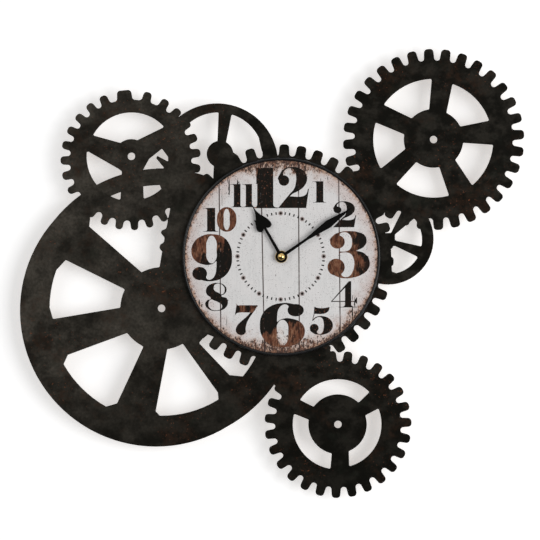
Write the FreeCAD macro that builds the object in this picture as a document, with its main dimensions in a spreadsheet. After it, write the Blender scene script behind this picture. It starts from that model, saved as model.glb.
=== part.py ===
import FreeCAD, Part
import math
import os
from types import SimpleNamespace

# A wall clock whose dial stands on a flat board cut to the outline of overlapping clock wheels.
# Millimetres. The wall is the plane y = 0 and the front looks along -Y, with +X right and +Z up.
# The origin is the hanging point: the centre of the keyhole in the hanger, on the wall plane.
# Distances named *_at are measured from the wall towards the viewer.

# Driving dimensions
SIZES = {
    # Depths of the boards
    "stand_off": 21.0,
    "board_thickness": 5.0,
    "dial_thickness": 4.0,
    "dial_x": 19.0,
    "dial_drop": 82.0,
    # Dial and its bead
    "dial_radius": 114.3,
    "rim_gap": 0.1,
    "rim_width": 3.6,
    "rim_height": 5.5,
    # Wheel cut behind the dial
    "dial_wheel_root": 120.2,
    "dial_wheel_tip": 133.9,
    "dial_wheel_tooth": 12.0,
    "dial_wheel_shift_x": 2.7,
    "dial_wheel_shift_z": 1.8,
    # Upper right wheel
    "right_wheel_x": 181.4,
    "right_wheel_z": 139.7,
    "right_wheel_root": 94.0,
    "right_wheel_tip": 107.8,
    "right_wheel_tooth": 11.5,
    # Wheel at the bottom
    "bottom_wheel_x": 67.5,
    "bottom_wheel_z": -199.6,
    "bottom_wheel_root": 74.7,
    "bottom_wheel_tip": 87.5,
    "bottom_wheel_tooth": 10.6,
    # Upper left wheel, whose teeth run about a lower centre than its spokes
    "left_wheel_x": -178.5,
    "left_wheel_z": 119.7,
    "left_wheel_shift_x": 0.8,
    "left_wheel_shift_z": 4.6,
    "left_wheel_root": 72.1,
    "left_wheel_tip": 83.5,
    "left_wheel_tooth": 10.1,
    "left_wheel_low_tooth": 8.9,
    "left_wheel_wide_tooth": 17.5,
    # Large plain wheel at the lower left, two discs a little apart
    "large_wheel_x": -142.6,
    "large_wheel_z": -61.4,
    "large_wheel_radius": 163.6,
    "large_wheel_shift_x": 6.3,
    "large_wheel_shift_z": 5.3,
    "large_wheel_rise": 2.9,
    "large_wheel_low_radius": 162.2,
    # Plain wheel above the dial
    "top_wheel_x": -75.0,
    "top_wheel_z": 118.5,
    "top_wheel_radius": 72.7,
    "top_wheel_shift_x": 1.3,
    "top_wheel_shift_z": 8.5,
    # Small plain wheel at the right of the dial
    "small_wheel_x": 127.8,
    "small_wheel_z": 20.0,
    "small_wheel_radius": 54.4,
    "small_wheel_shift_x": 0.9,
    "small_wheel_shift_z": 1.3,
    # Common to the cut wheels
    "tooth_rounding": 4.1,
    "tooth_taper": 0.8,
    "window_rounding": 1.6,
    "axle_hole_radius": 4.5,
    # Hanger, spacers and wall pads
    "plate_width": 48.0,
    "plate_height": 24.0,
    "plate_thickness": 1.5,
    "keyhole_radius": 4.0,
    "keyhole_slot_width": 4.0,
    "keyhole_slot_rise": 8.0,
    "hanger_block_width": 60.0,
    "hanger_block_height": 34.0,
    "keyhole_pocket_depth": 8.0,
    "screw_spacing": 34.0,
    "screw_radius": 1.6,
    "screw_head_radius": 3.1,
    "screw_head_height": 1.2,
    "screw_length": 12.0,
    "spacer_width": 26.0,
    "spacer_height": 16.0,
    "pad_thickness": 1.0,
    "pad_margin": 2.0,
    "left_spacer_x": -168.2,
    "left_spacer_z": -206.0,
    # Movement case
    "rubber_washer_thickness": 1.0,
    "rubber_washer_radius": 10.0,
    "case_width": 56.0,
    "case_depth": 16.0,
    "case_wall": 1.5,
    "cover_thickness": 1.2,
    "rib_thickness": 1.0,
    "rib_drop": 10.5,
    # Bush, nut and hands on the hand axis
    "running_fit": 0.05,
    "board_clearance": 0.5,
    "bush_radius": 4.0,
    "bush_bore_radius": 2.65,
    "bush_flange_radius": 5.5,
    "bush_flange_thickness": 0.3,
    "washer_radius": 7.3,
    "washer_thickness": 0.8,
    "nut_across_flats": 12.0,
    "nut_thickness": 2.2,
    "bush_projection": 0.4,
    "hand_thickness": 0.8,
    "hand_gap": 0.4,
    "hand_spacing": 0.6,
    "hand_hub_radius": 6.8,
    "hand_stem_width": 3.9,
    "minute_hand_length": 102.3,
    "minute_diamond_width": 9.5,
    "hour_hand_length": 71.0,
    "hour_hand_tip_radius": 0.7,
    "hour_spade_width": 18.8,
    "arbor_radius": 1.5,
    "arbor_tip_radius": 1.1,
    "arbor_tip_length": 2.3,
    "cap_radius": 4.2,
    "cap_rim_height": 0.8,
    "cap_height": 3.0,
    # Wheels of the movement
    "case_gap": 0.5,
    "layer_gap": 0.4,
    "centre_gap": 0.3,
    "motion_face": 1.0,
    "train_face": 0.8,
    "bridge_thickness": 1.0,
    "bridge_width": 44.0,
    "bridge_height": 34.0,
    "bridge_rise": 7.5,
    "bridge_margin": 2.5,
    "pillar_radius": 1.5,
    "cannon_module": 0.4,
    "train_module": 0.3,
    "pivot_radius": 0.45,
    "pivot_fit": 0.03,
    "boss_radius": 1.5,
    "boss_height": 1.6,
    "motion_post_radius": 0.7,
    "knob_pivot_radius": 0.6,
    "knob_shaft_radius": 1.0,
    "knob_radius": 5.0,
    "knob_thickness": 1.5,
    "knob_gap": 0.2,
    # Stepping motor
    "magnet_radius": 3.0,
    "magnet_thickness": 1.4,
    "magnet_gap": 0.2,
    "stator_thickness": 1.0,
    "stator_gap": 0.75,
    "stator_ring": 1.75,
    "stator_leg_width": 3.0,
    "stator_left": 1.5,
    "stator_right": 18.5,
    "stator_top": 24.0,
    "core_height": 2.4,
    "core_thickness": 1.0,
    "coil_radius": 2.2,
    "bobbin_flange": 0.6,
    "winding_depth": 0.6,
    # Circuit board and crystal
    "circuit_left": 26.0,
    "circuit_width": 11.5,
    "circuit_bottom": 7.0,
    "circuit_height": 31.0,
    "circuit_thickness": 0.8,
    "circuit_post_radius": 1.2,
    "circuit_post_inset": 3.0,
    "crystal_radius": 1.0,
    "crystal_length": 6.0,
    # Cell and its contacts
    "cell_radius": 7.1,
    "cell_length": 49.2,
    "cell_nub_radius": 2.6,
    "cell_nub_length": 1.3,
    "cell_gap": 0.3,
    "contact_width": 8.0,
    "contact_height": 9.0,
}

# Distances from the wall to the viewer, and places about the hand axis, worked out from the sizes
PLACES = {
    "board_front_at": "=Sizes.stand_off + Sizes.board_thickness",
    "dial_front_at": "=board_front_at + Sizes.dial_thickness",
    "washer_front_at": "=dial_front_at + Sizes.washer_thickness",
    "nut_front_at": "=washer_front_at + Sizes.nut_thickness",
    "bush_front_at": "=nut_front_at + Sizes.bush_projection",
    "hour_hand_front_at": "=bush_front_at + Sizes.hand_gap + Sizes.hand_thickness",
    "minute_hand_back_at": "=hour_hand_front_at + Sizes.hand_spacing",
    "minute_hand_front_at": "=minute_hand_back_at + Sizes.hand_thickness",
    "case_front_at": "=Sizes.stand_off - Sizes.rubber_washer_thickness",
    "hour_wheel_at": "=case_front_at - Sizes.case_wall - Sizes.case_gap",
    "cannon_at": "=hour_wheel_at - Sizes.motion_face - Sizes.layer_gap",
    "bridge_at": "=cannon_at - Sizes.motion_face - Sizes.layer_gap",
    "bridge_back_at": "=bridge_at - Sizes.bridge_thickness",
    "centre_wheel_at": "=bridge_back_at - Sizes.centre_gap",
    "third_wheel_at": "=centre_wheel_at - Sizes.train_face - Sizes.layer_gap",
    "seconds_wheel_at": "=third_wheel_at - Sizes.train_face - Sizes.layer_gap",
    "fifth_wheel_at": "=seconds_wheel_at - Sizes.train_face - Sizes.layer_gap",
    "magnet_at": "=fifth_wheel_at - Sizes.train_face - Sizes.magnet_gap",
    "stator_at": "=magnet_at - (Sizes.magnet_thickness - Sizes.stator_thickness) / 2",
    "core_at": "=stator_at - Sizes.stator_thickness",
    "cover_at": "=case_front_at - Sizes.case_depth + Sizes.cover_thickness",
    "boss_front_at": "=cover_at + Sizes.boss_height",
    "knob_at": "=case_front_at - Sizes.case_depth - Sizes.knob_gap",
    "circuit_at": "=boss_front_at + Sizes.circuit_thickness",
    "dial_z": "=-Sizes.dial_drop",
}

# Tooth counts of the movement, and the directions of its arbors from the one that each meshes with,
# in degrees from +X towards +Z
CANNON_TEETH = 12
MOTION_WHEEL_TEETH = 36
MOTION_PINION_TEETH = 10
HOUR_TEETH = 40
KNOB_TEETH = 12
CENTRE_TEETH = 48
THIRD_PINION_TEETH = 6
THIRD_WHEEL_TEETH = 45
SECONDS_PINION_TEETH = 6
SECONDS_WHEEL_TEETH = 48
FIFTH_PINION_TEETH = 8
FIFTH_WHEEL_TEETH = 40
ROTOR_TEETH = 8
MOTION_BEARING = 120
KNOB_BEARING = 120
THIRD_BEARING = 175
FIFTH_BEARING = 50
ROTOR_BEARING = 60

# Shares of the tooth form of the movement's wheels
TOOTH_WIDTH_SHARE = 0.75
TOOTH_TIP_SHARE = 0.25
WHEEL_ADDENDUM_SHARE = 0.8
PINION_ADDENDUM_SHARE = 0.5
DEDENDUM_SHARE = 1.1

# Hands at rest, in degrees clockwise from twelve
MINUTE_HAND_ANGLE = 55.2
HOUR_HAND_ANGLE = 330.3

# Teeth of the board's wheels: first tooth and pitch in degrees clockwise from twelve, and their count
RIGHT_WHEEL_TEETH = (8.05, 11.25, 32)
BOTTOM_WHEEL_TEETH = (8.3, 40 / 3, 27)
LEFT_WHEEL_TEETH = (30.7, 13.28, 7)
LEFT_WHEEL_LOW_TEETH = (123.66, 13.28, 10)
LEFT_WHEEL_FAR_TEETH = (256.46, 13.28, 7)
LEFT_WHEEL_LONE_TOOTH = (14.5, 0, 1)
LEFT_WHEEL_WIDE_TOOTH = (354.4, 0, 1)
DIAL_WHEEL_TEETH = (316.13, 9.09, 22)
DIAL_WHEEL_LOW_TEETH = (180.6, 9.05, 7)

# Windows between the spokes. Angles are in degrees clockwise from twelve and radii are shares of the
# wheel's radius. (share, angle) is a corner, (share, start, end) an arc about the hub, and an arc
# with two more values has its centre that many shares right of the hub and above it.
LARGE_WHEEL_WINDOW_SHARES = [
    [(0.300, 149, 172), (0.751, 183.3), (0.782, 181, 148), (0.736, 146.2)],
    [(0.307, 205.3, 234.3), (0.763, 243.6), (0.822, 240.3, 209.5), (0.764, 205.1)],
    [(0.300, 271, 297.5), (0.782, 296.8), (0.816, 290, 270.5), (0.796, 264.4)],
    [(0.300, 331, 357.2), (0.414, 0.6), (0.692, 4.7), (0.898, 6, -34), (0.850, 322.4), (0.796, 318.5)],
    [(0.371, 119.8, 132.8), (0.694, 134.5), (0.771, 130, 115.5)],
]
LEFT_WHEEL_WINDOW_SHARES = [
    [(0.245, -39, 20.6), (0.627, 48.3, -61.5)],
    [(0.255, 212, 225), (0.641, 277.1, 194.1)],
    [(0.249, 100.6, 140), (0.631, 164, 133), (0.524, 96.7), (0.504, 88.9), (0.469, 80), (0.427, 77)],
]
RIGHT_WHEEL_WINDOW_SHARES = [
    [(0.326, 25.6, 64), (0.650, 71.3, 18.7)],
    [(0.327, 96.2, 133.5), (0.662, 140, 95)],
    [(0.311, 168, 217.5), (0.642, 220, 164.5)],
    [(0.328, 251.6, 280.2), (0.667, 286.5, 241.2)],
    [(0.337, 313.9, 351.8), (0.671, 358.4, 304.8)],
]
BOTTOM_WHEEL_WINDOW_SHARES = [
    [(0.408, -54.1, 43.7), (0.615, 44.4, -57.3)],
    [(0.392, 71.6, 158), (0.593, 165.1, 68.4)],
    [(0.403, 192, 279.3), (0.615, 283.7, 189.6)],
]
TOP_WHEEL_WINDOW_SHARES = [
    [(0.218, -152.2, -11, 0.028, 0.052), (0.737, 0.3, -172)],
    [(0.218, 27, 82, 0.028, 0.052), (0.303, 81.6), (0.407, 103.3), (0.737, 118, 17.2)],
]
SMALL_WHEEL_WINDOW_SHARES = [
    [(0.184, 49.2), (0.735, 49.8, 101), (0.171, 95.5), (0.138, 85.5)],
    [(0.167, 162.5), (0.157, 148.1), (0.200, 131.9), (0.722, 120), (0.744, 122, 166.8), (0.694, 174)],
    [(0.329, 297.8), (0.744, -62, 20), (0.661, 24.6), (0.177, 20.2), (0.154, 6.5)],
]

# What stays open of a window of the upper left wheel, whatever lies behind it: (share, angle)
LEFT_OPENING_SHARES = [
    (0.246, 134.5), (0.255, 98.0), (0.448, 75.8), (0.522, 90.9), (0.531, 98.3), (0.371, 89.1), (0.354, 94.4),
    (0.502, 110.1),
]

# Solid webs between the dial's wheel and its neighbours: (share of the dial wheel's tip radius, angle)
DIAL_WEB_SHARES = [
    [(1.102, -10.8), (1.044, -7.2), (0.950, -6.2), (0.947, -10.4)],
    [(0.872, 39.4), (0.950, 38.8), (0.987, 39.7), (1.029, 41.8), (1.065, 45.0), (1.062, 64.8), (0.995, 67.6), (0.987, 62.8),
     (0.873, 53.2)],
]

# Solid web that joins the bottom wheel to its neighbours: (share of its tip radius, angle)
BOTTOM_WEB_SHARES = [
    (1.000, -58.4), (1.389, -54.4), (1.331, -35.6), (1.072, -5.1), (0.992, -6.1), (0.840, -5.5), (0.840, -58.4),
]

# Left flank of the wheel behind the dial: (share of the wheel's tip radius, angle)
FLANK_SHARES = [
    (0.800, 289.5), (1.076, 289.5), (1.057, 287.2), (1.053, 283.8), (1.090, 282.4), (1.093, 281.2),
    (1.052, 279.4), (1.051, 277.0), (1.084, 275.8), (1.088, 274.0), (1.060, 272.5), (1.053, 269.5),
    (0.800, 269.5),
]

# Outlines of the hands: (share of the half width, share of the length)
DIAMOND_START_SHARE = 0.36
DIAMOND_WIDEST_SHARE = 0.663
STEM_END_SHARE = 0.78
SPADE_FOOT_SHARE = 0.552
SPADE_LOBE_SHARES = (0.66, 0.524)
SPADE_SHOULDER_SHARES = (1.0, 0.594)
SPADE_CHEEK_SHARES = (0.81, 0.682)
SPADE_SIDE_SHARES = (0.49, 0.751)
SPADE_NECK_SHARES = (0.17, 0.85)

# Shares of the large wheel's low rim and of the bottom wheel's rim that their inner edges have
LARGE_WHEEL_RIM_SHARE = 0.93
BOTTOM_WHEEL_RIM_SHARE = 0.615

COINCIDENT = 1e-6
NEWTON_STEPS = 8
FULL_TURN = 360
SQUARE_CORNERS = ((-1, -1), (1, -1), (1, 1), (-1, 1))
V = FreeCAD.Vector
UPRIGHT = FreeCAD.Placement(V(0, 0, 0), FreeCAD.Rotation(V(1, 0, 0), 90))

doc = FreeCAD.newDocument("GearClock")
pieces = []


# The sheets

def make_sheet(name, cells):
    """A sheet of aliased cells, and their values by name."""
    sheet = doc.addObject("Spreadsheet::Sheet", name)
    for row, (alias, content) in enumerate(cells.items(), start=1):
        sheet.set(f"A{row}", alias)
        sheet.set(f"B{row}", str(content))
        sheet.setAlias(f"B{row}", alias)
    doc.recompute()
    return SimpleNamespace(**{alias: float(sheet.get(alias)) for alias in cells})


size = make_sheet("Sizes", SIZES)


def mesh_distance(teeth, other_teeth, module):
    return (teeth + other_teeth) * module / 2


# Arbors of the movement, right of and above the hand axis
motion_distance = mesh_distance(CANNON_TEETH, MOTION_WHEEL_TEETH, size.cannon_module)
hour_module = 2 * motion_distance / (MOTION_PINION_TEETH + HOUR_TEETH)
third_distance = mesh_distance(CENTRE_TEETH, THIRD_PINION_TEETH, size.train_module)
third_module = 2 * third_distance / (THIRD_WHEEL_TEETH + SECONDS_PINION_TEETH)
fifth_distance = mesh_distance(SECONDS_WHEEL_TEETH, FIFTH_PINION_TEETH, size.train_module)
rotor_distance = mesh_distance(FIFTH_WHEEL_TEETH, ROTOR_TEETH, size.train_module)


def from_point(point, distance, bearing):
    angle = math.radians(bearing)
    return V(point.x + distance * math.cos(angle), point.y + distance * math.sin(angle), 0)


HAND_AXIS = V(0, 0, 0)
motion_arbor = from_point(HAND_AXIS, motion_distance, MOTION_BEARING)
knob_arbor = from_point(motion_arbor, motion_distance, KNOB_BEARING)
third_arbor = from_point(HAND_AXIS, third_distance, THIRD_BEARING)
fifth_arbor = from_point(HAND_AXIS, fifth_distance, FIFTH_BEARING)
rotor_arbor = from_point(fifth_arbor, rotor_distance, ROTOR_BEARING)

ARBORS = {
    "motion": motion_arbor,
    "knob": knob_arbor,
    "third": third_arbor,
    "fifth": fifth_arbor,
    "rotor": rotor_arbor,
}
for arbor_name, arbor in ARBORS.items():
    PLACES[f"{arbor_name}_x"] = f"=Sizes.dial_x + {arbor.x}"
    PLACES[f"{arbor_name}_z"] = f"=dial_z + {arbor.y}"

place = make_sheet("Places", PLACES)


# Outlines

def polar(radius, angle, centre=HAND_AXIS):
    """A point of an outline, at an angle in degrees clockwise from twelve."""
    turn = math.radians(angle)
    return V(centre.x + radius * math.sin(turn), centre.y + radius * math.cos(turn), 0)


def circle(radius, centre=HAND_AXIS):
    return [Part.Circle(centre, V(0, 0, 1), radius)]


def loop(points):
    """Straight lines through the points, closed."""
    return [Part.LineSegment(a, b) for a, b in zip(points, points[1:] + points[:1])]


def rectangle(width, height, centre=HAND_AXIS):
    return loop([V(centre.x + sx * width / 2, centre.y + sz * height / 2, 0) for sx, sz in SQUARE_CORNERS])


def box_between(left, right, bottom, top):
    return loop([V(left, bottom, 0), V(right, bottom, 0), V(right, top, 0), V(left, top, 0)])


def straight_side(start, end):
    return SimpleNamespace(start=start, end=end, centre=None)


def arc_side(centre, radius, start_angle, end_angle):
    """An arc between two angles in degrees clockwise from twelve."""
    return SimpleNamespace(
        start=polar(radius, start_angle, centre), end=polar(radius, end_angle, centre),
        centre=centre, radius=radius, clockwise=end_angle > start_angle)


def distance_left(side, point):
    """How far a point lies to the left of a side, and the direction in which that grows."""
    if side.centre is None:
        along = (side.end - side.start).normalize()
        normal = V(-along.y, along.x, 0)
        return (point - side.start).dot(normal), normal
    outward = point - side.centre
    distance = outward.Length
    outward.normalize()
    if side.clockwise:
        return distance - side.radius, outward
    return side.radius - distance, outward * -1


def rounded_corner(first, second, radius):
    """The arc that rounds the corner between two sides: its start, middle and end."""
    corner = first.end
    normal, next_normal = (distance_left(side, corner)[1] for side in (first, second))
    half_turn = math.atan2(normal.cross(next_normal).z, normal.dot(next_normal)) / 2
    shorter = min((side.end - side.start).Length for side in (first, second))
    radius = min(radius, shorter / 2 / abs(math.tan(half_turn)))
    offset = math.copysign(radius, half_turn)
    centre = corner + (normal + next_normal) * (offset / (1 + normal.dot(next_normal)))
    for _ in range(NEWTON_STEPS):
        distance, normal = distance_left(first, centre)
        next_distance, next_normal = distance_left(second, centre)
        error = offset - distance
        next_error = offset - next_distance
        spread = normal.cross(next_normal).z
        centre = centre + V(error * next_normal.y - next_error * normal.y,
                            next_error * normal.x - error * next_normal.x, 0) * (1 / spread)
    middle = centre + (corner - centre).normalize() * radius
    return centre - normal * offset, middle, centre - next_normal * offset


def rounded_loop(sides, radius):
    """Lines and arcs in a closed row, with each corner rounded as far as its sides allow."""
    corners = [rounded_corner(side, sides[(index + 1) % len(sides)], radius)
               for index, side in enumerate(sides)]
    outline = []
    for index, side in enumerate(sides):
        start = corners[index - 1][2]
        end = corners[index][0]
        if side.centre is not None:
            outward = (start - side.centre).normalize() + (end - side.centre).normalize()
            outline.append(Part.Arc(start, side.centre + outward.normalize() * side.radius, end))
        elif (end - start).Length > COINCIDENT:
            outline.append(Part.LineSegment(start, end))
        outline.append(Part.Arc(*corners[index]))
    return outline


def rounded_polygon(points, radius):
    return rounded_loop([straight_side(a, b) for a, b in zip(points, points[1:] + points[:1])], radius)


def tooth(centre, root, tip, width, angle, rounding, foot_rounding):
    """One tooth, a little wider at its foot, rounded into a disc of the root radius and at its tip."""
    axis = polar(1, angle)
    side = polar(1, angle + FULL_TURN / 4)
    half = (width + size.tooth_taper) / 2
    tip_half = (width - size.tooth_taper) / 2
    foot_half = half + 2 * foot_rounding
    foot = math.sqrt(root ** 2 - foot_half ** 2)
    places = [
        (-foot_half, foot - rounding), (-foot_half, foot), (-half, math.sqrt(root ** 2 - half ** 2)),
        (-tip_half, tip), (tip_half, tip),
        (half, math.sqrt(root ** 2 - half ** 2)), (foot_half, foot), (foot_half, foot - rounding),
    ]
    return rounded_polygon([centre + side * across + axis * along for across, along in places], rounding)


def stretch_side(hub, radius, stretch):
    """One stretch of a window: an arc, or a corner as a side without length."""
    if len(stretch) == 2:
        corner = polar(radius * stretch[0], stretch[1], hub)
        return straight_side(corner, corner)
    share, start, end, *shift = stretch
    centre = hub + V(*shift, 0) * radius if shift else hub
    return arc_side(centre, radius * share, start, end)


def window(hub, radius, stretches, rounding):
    """A window outline: its arcs and corners, joined by straight lines, with rounded corners."""
    parts = [stretch_side(hub, radius, stretch) for stretch in stretches]
    sides = []
    for part, following in zip(parts, parts[1:] + parts[:1]):
        if part.centre is not None:
            sides.append(part)
        sides.append(straight_side(part.end, following.start))
    return rounded_loop(sides, rounding)


def gear_outline(teeth, module, phase, addendum_share):
    """A small gear with radial flanks and tapered tips; phase is the angle of one tooth from +X."""
    pitch_radius = teeth * module / 2
    half = FULL_TURN / teeth / 4 * TOOTH_WIDTH_SHARE
    root = pitch_radius - DEDENDUM_SHARE * module
    tip = pitch_radius + addendum_share * module
    profile = (
        (root, -half), (pitch_radius, -half), (tip, -half * TOOTH_TIP_SHARE),
        (tip, half * TOOTH_TIP_SHARE), (pitch_radius, half), (root, half),
    )
    points = []
    for index in range(teeth):
        for radius, offset in profile:
            angle = math.radians(phase + index * FULL_TURN / teeth + offset)
            points.append(V(radius * math.cos(angle), radius * math.sin(angle), 0))
    return loop(points)


def meshing_phase(own_teeth, bearing, other_teeth, other_phase):
    """The phase of a gear that lies at a bearing from another, so that its gap meets that tooth."""
    other_pitch = FULL_TURN / other_teeth
    past_tooth = ((bearing - other_phase) % other_pitch) / other_pitch
    own_pitch = FULL_TURN / own_teeth
    return bearing + FULL_TURN / 2 + own_pitch / 2 + past_tooth * own_pitch


# Features

def piece(label, x, at, z):
    """An empty body with its own origin on the piece's front face."""
    body = doc.addObject("PartDesign::Body", label)
    body.Label = label
    place_piece(body, x, at, z)
    return body


def place_piece(item, x, at, z):
    """Puts a piece at expressions for its place along X, its distance from the wall and its height."""
    item.setExpression("Placement.Base.x", x)
    item.setExpression("Placement.Base.y", f"-({at})")
    item.setExpression("Placement.Base.z", z)
    pieces.append(item)


def sketch(body, role, outline, behind=None):
    """A sketch on an origin plane, moved back towards the wall by an expression."""
    plane = next(item for item in body.Origin.OriginFeatures if item.Role == role)
    drawing = body.newObject("Sketcher::SketchObject", f"{body.Label}_sketch")
    drawing.AttachmentSupport = [(plane, "")]
    drawing.MapMode = "FlatFace"
    if behind:
        drawing.setExpression("AttachmentOffset.Base.z", f"-({behind})")
    drawing.addGeometry(outline, False)
    return drawing


def pad(body, outline, length, behind=None, forward=False):
    """Pads an outline from behind the body's origin, towards the wall or forward."""
    feature = body.newObject("PartDesign::Pad", f"{body.Label}_pad")
    feature.Profile = sketch(body, "XZ_Plane", outline, behind)
    feature.setExpression("Length", length)
    feature.Reversed = not forward
    doc.recompute()
    return feature


def pocket(body, outline, length, behind=None):
    """Cuts an outline towards the wall, and checks that it took something away."""
    before = body.Shape.Volume
    feature = body.newObject("PartDesign::Pocket", f"{body.Label}_pocket")
    feature.Profile = sketch(body, "XZ_Plane", outline, behind)
    feature.setExpression("Length", length)
    doc.recompute()
    if not body.Shape.Volume < before - COINCIDENT:
        raise RuntimeError(f"{feature.Label} cuts nothing")
    return feature


def turn(body, profile, role="XY_Plane", axis="V_Axis"):
    """Turns a closed profile of (radius, distance behind the origin) about the body's Y axis."""
    feature = body.newObject("PartDesign::Revolution", f"{body.Label}_turn")
    drawing = sketch(body, role, loop([V(radius, behind, 0) for radius, behind in profile]))
    feature.Profile = drawing
    feature.ReferenceAxis = (drawing, [axis])
    feature.Angle = FULL_TURN
    doc.recompute()
    return feature


def ring_profile(inner, outer, start, end):
    return [(inner, start), (outer, start), (outer, end), (inner, end)]


# Cut board

def face(outline):
    """The flat face inside a closed outline, facing up whichever way the outline runs."""
    wire = Part.Wire([curve.toShape() for curve in outline])
    if Part.Face(wire).normalAt(0, 0).z < 0:
        wire.reverse()
    return Part.Face(wire)


def teeth_faces(centre, root, tip, width, teeth):
    """A row of teeth; where it has a pitch, the gaps between them are at most round at the foot."""
    first, pitch, count = teeth
    gap = root * math.radians(pitch) - width - size.tooth_taper if pitch else math.inf
    foot_rounding = min(size.tooth_rounding, gap / 2)
    return [face(tooth(centre, root, tip, width, first + index * pitch, size.tooth_rounding, foot_rounding))
            for index in range(count)]


def wheel_face(centre, radius, hub, window_radius, windows):
    """A disc with its windows; the windows have their own hub and the radius that their shares follow."""
    disc = face(circle(radius, centre))
    return disc.cut([face(window(hub, window_radius, shares, size.window_rounding)) for shares in windows])


def gear_board():
    """One sheet in the outline of all the wheels, so a wheel in front fills the windows behind it."""
    large_hub = V(size.large_wheel_x, size.large_wheel_z, 0)
    large_centre = large_hub + V(0, size.large_wheel_rise, 0)
    low_centre = large_centre - V(size.large_wheel_shift_x, size.large_wheel_shift_z, 0)
    low_rim = face(circle(size.large_wheel_low_radius, low_centre)).cut(
        face(circle(size.large_wheel_low_radius * LARGE_WHEEL_RIM_SHARE, low_centre)))
    faces = [wheel_face(large_centre, size.large_wheel_radius, large_hub, size.large_wheel_radius,
                        LARGE_WHEEL_WINDOW_SHARES), low_rim]

    left_hub = V(size.left_wheel_x, size.left_wheel_z, 0)
    left_centre = left_hub - V(size.left_wheel_shift_x, size.left_wheel_shift_z, 0)
    faces.append(wheel_face(left_centre, size.left_wheel_root, left_hub, size.left_wheel_tip,
                            LEFT_WHEEL_WINDOW_SHARES))
    for width, teeth in (
            (size.left_wheel_tooth, LEFT_WHEEL_TEETH), (size.left_wheel_low_tooth, LEFT_WHEEL_LOW_TEETH),
            (size.left_wheel_tooth, LEFT_WHEEL_FAR_TEETH), (size.left_wheel_tooth, LEFT_WHEEL_LONE_TOOTH),
            (size.left_wheel_wide_tooth, LEFT_WHEEL_WIDE_TOOTH)):
        faces += teeth_faces(left_centre, size.left_wheel_root, size.left_wheel_tip, width, teeth)

    top_hub = V(size.top_wheel_x, size.top_wheel_z, 0)
    top_centre = top_hub - V(size.top_wheel_shift_x, size.top_wheel_shift_z, 0)
    faces.append(wheel_face(top_centre, size.top_wheel_radius, top_hub, size.top_wheel_radius,
                            TOP_WHEEL_WINDOW_SHARES))

    right_hub = V(size.right_wheel_x, size.right_wheel_z, 0)
    faces.append(wheel_face(right_hub, size.right_wheel_root, right_hub, size.right_wheel_tip,
                            RIGHT_WHEEL_WINDOW_SHARES))
    faces += teeth_faces(right_hub, size.right_wheel_root, size.right_wheel_tip, size.right_wheel_tooth,
                         RIGHT_WHEEL_TEETH)

    small_hub = V(size.small_wheel_x, size.small_wheel_z, 0)
    small_centre = small_hub - V(size.small_wheel_shift_x, -size.small_wheel_shift_z, 0)
    faces.append(wheel_face(small_centre, size.small_wheel_radius, small_hub, size.small_wheel_radius,
                            SMALL_WHEEL_WINDOW_SHARES))

    bottom_hub = V(size.bottom_wheel_x, size.bottom_wheel_z, 0)
    faces.append(wheel_face(bottom_hub, size.bottom_wheel_root, bottom_hub, size.bottom_wheel_tip,
                            BOTTOM_WHEEL_WINDOW_SHARES))
    faces += teeth_faces(bottom_hub, size.bottom_wheel_root, size.bottom_wheel_tip, size.bottom_wheel_tooth,
                         BOTTOM_WHEEL_TEETH)

    web = [polar(size.bottom_wheel_tip * share, angle, bottom_hub) for share, angle in BOTTOM_WEB_SHARES]
    faces.append(face(rounded_polygon(web, size.window_rounding)))

    low_dial_centre = V(-size.dial_wheel_shift_x, -size.dial_wheel_shift_z, 0)
    for centre, teeth in ((HAND_AXIS, DIAL_WHEEL_TEETH), (low_dial_centre, DIAL_WHEEL_LOW_TEETH)):
        faces.append(face(circle(size.dial_wheel_root, centre)))
        faces += teeth_faces(centre, size.dial_wheel_root, size.dial_wheel_tip, size.dial_wheel_tooth, teeth)
    flank = [polar(size.dial_wheel_tip * share, angle) for share, angle in FLANK_SHARES]
    faces.append(face(rounded_polygon(flank, size.tooth_rounding)))
    for shares in DIAL_WEB_SHARES:
        web = [polar(size.dial_wheel_tip * share, angle) for share, angle in shares]
        faces.append(face(rounded_polygon(web, size.window_rounding)))

    sheet = Part.Shell(faces[0].multiFuse(faces[1:]).Faces).removeSplitter()
    opening = [polar(size.left_wheel_tip * share, angle, left_hub) for share, angle in LEFT_OPENING_SHARES]
    holes = [face(rounded_polygon(opening, size.window_rounding / 2))]
    holes.append(face(circle(size.bush_radius + size.board_clearance)))
    holes += [face(circle(size.axle_hole_radius, hub)) for hub in (large_hub, left_hub, right_hub, bottom_hub)]
    outline = doc.addObject("Part::Feature", "board_outline")
    outline.Shape = sheet.cut(holes)
    outline.Placement = UPRIGHT
    board = doc.addObject("Part::Extrusion", "gear_board")
    board.Base = outline
    board.DirMode = "Custom"
    board.Dir = V(0, 1, 0)
    board.Solid = True
    board.setExpression("LengthFwd", "Sizes.board_thickness")
    place_piece(board, "Sizes.dial_x", "Places.board_front_at", "Places.dial_z")


# Dial

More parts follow.
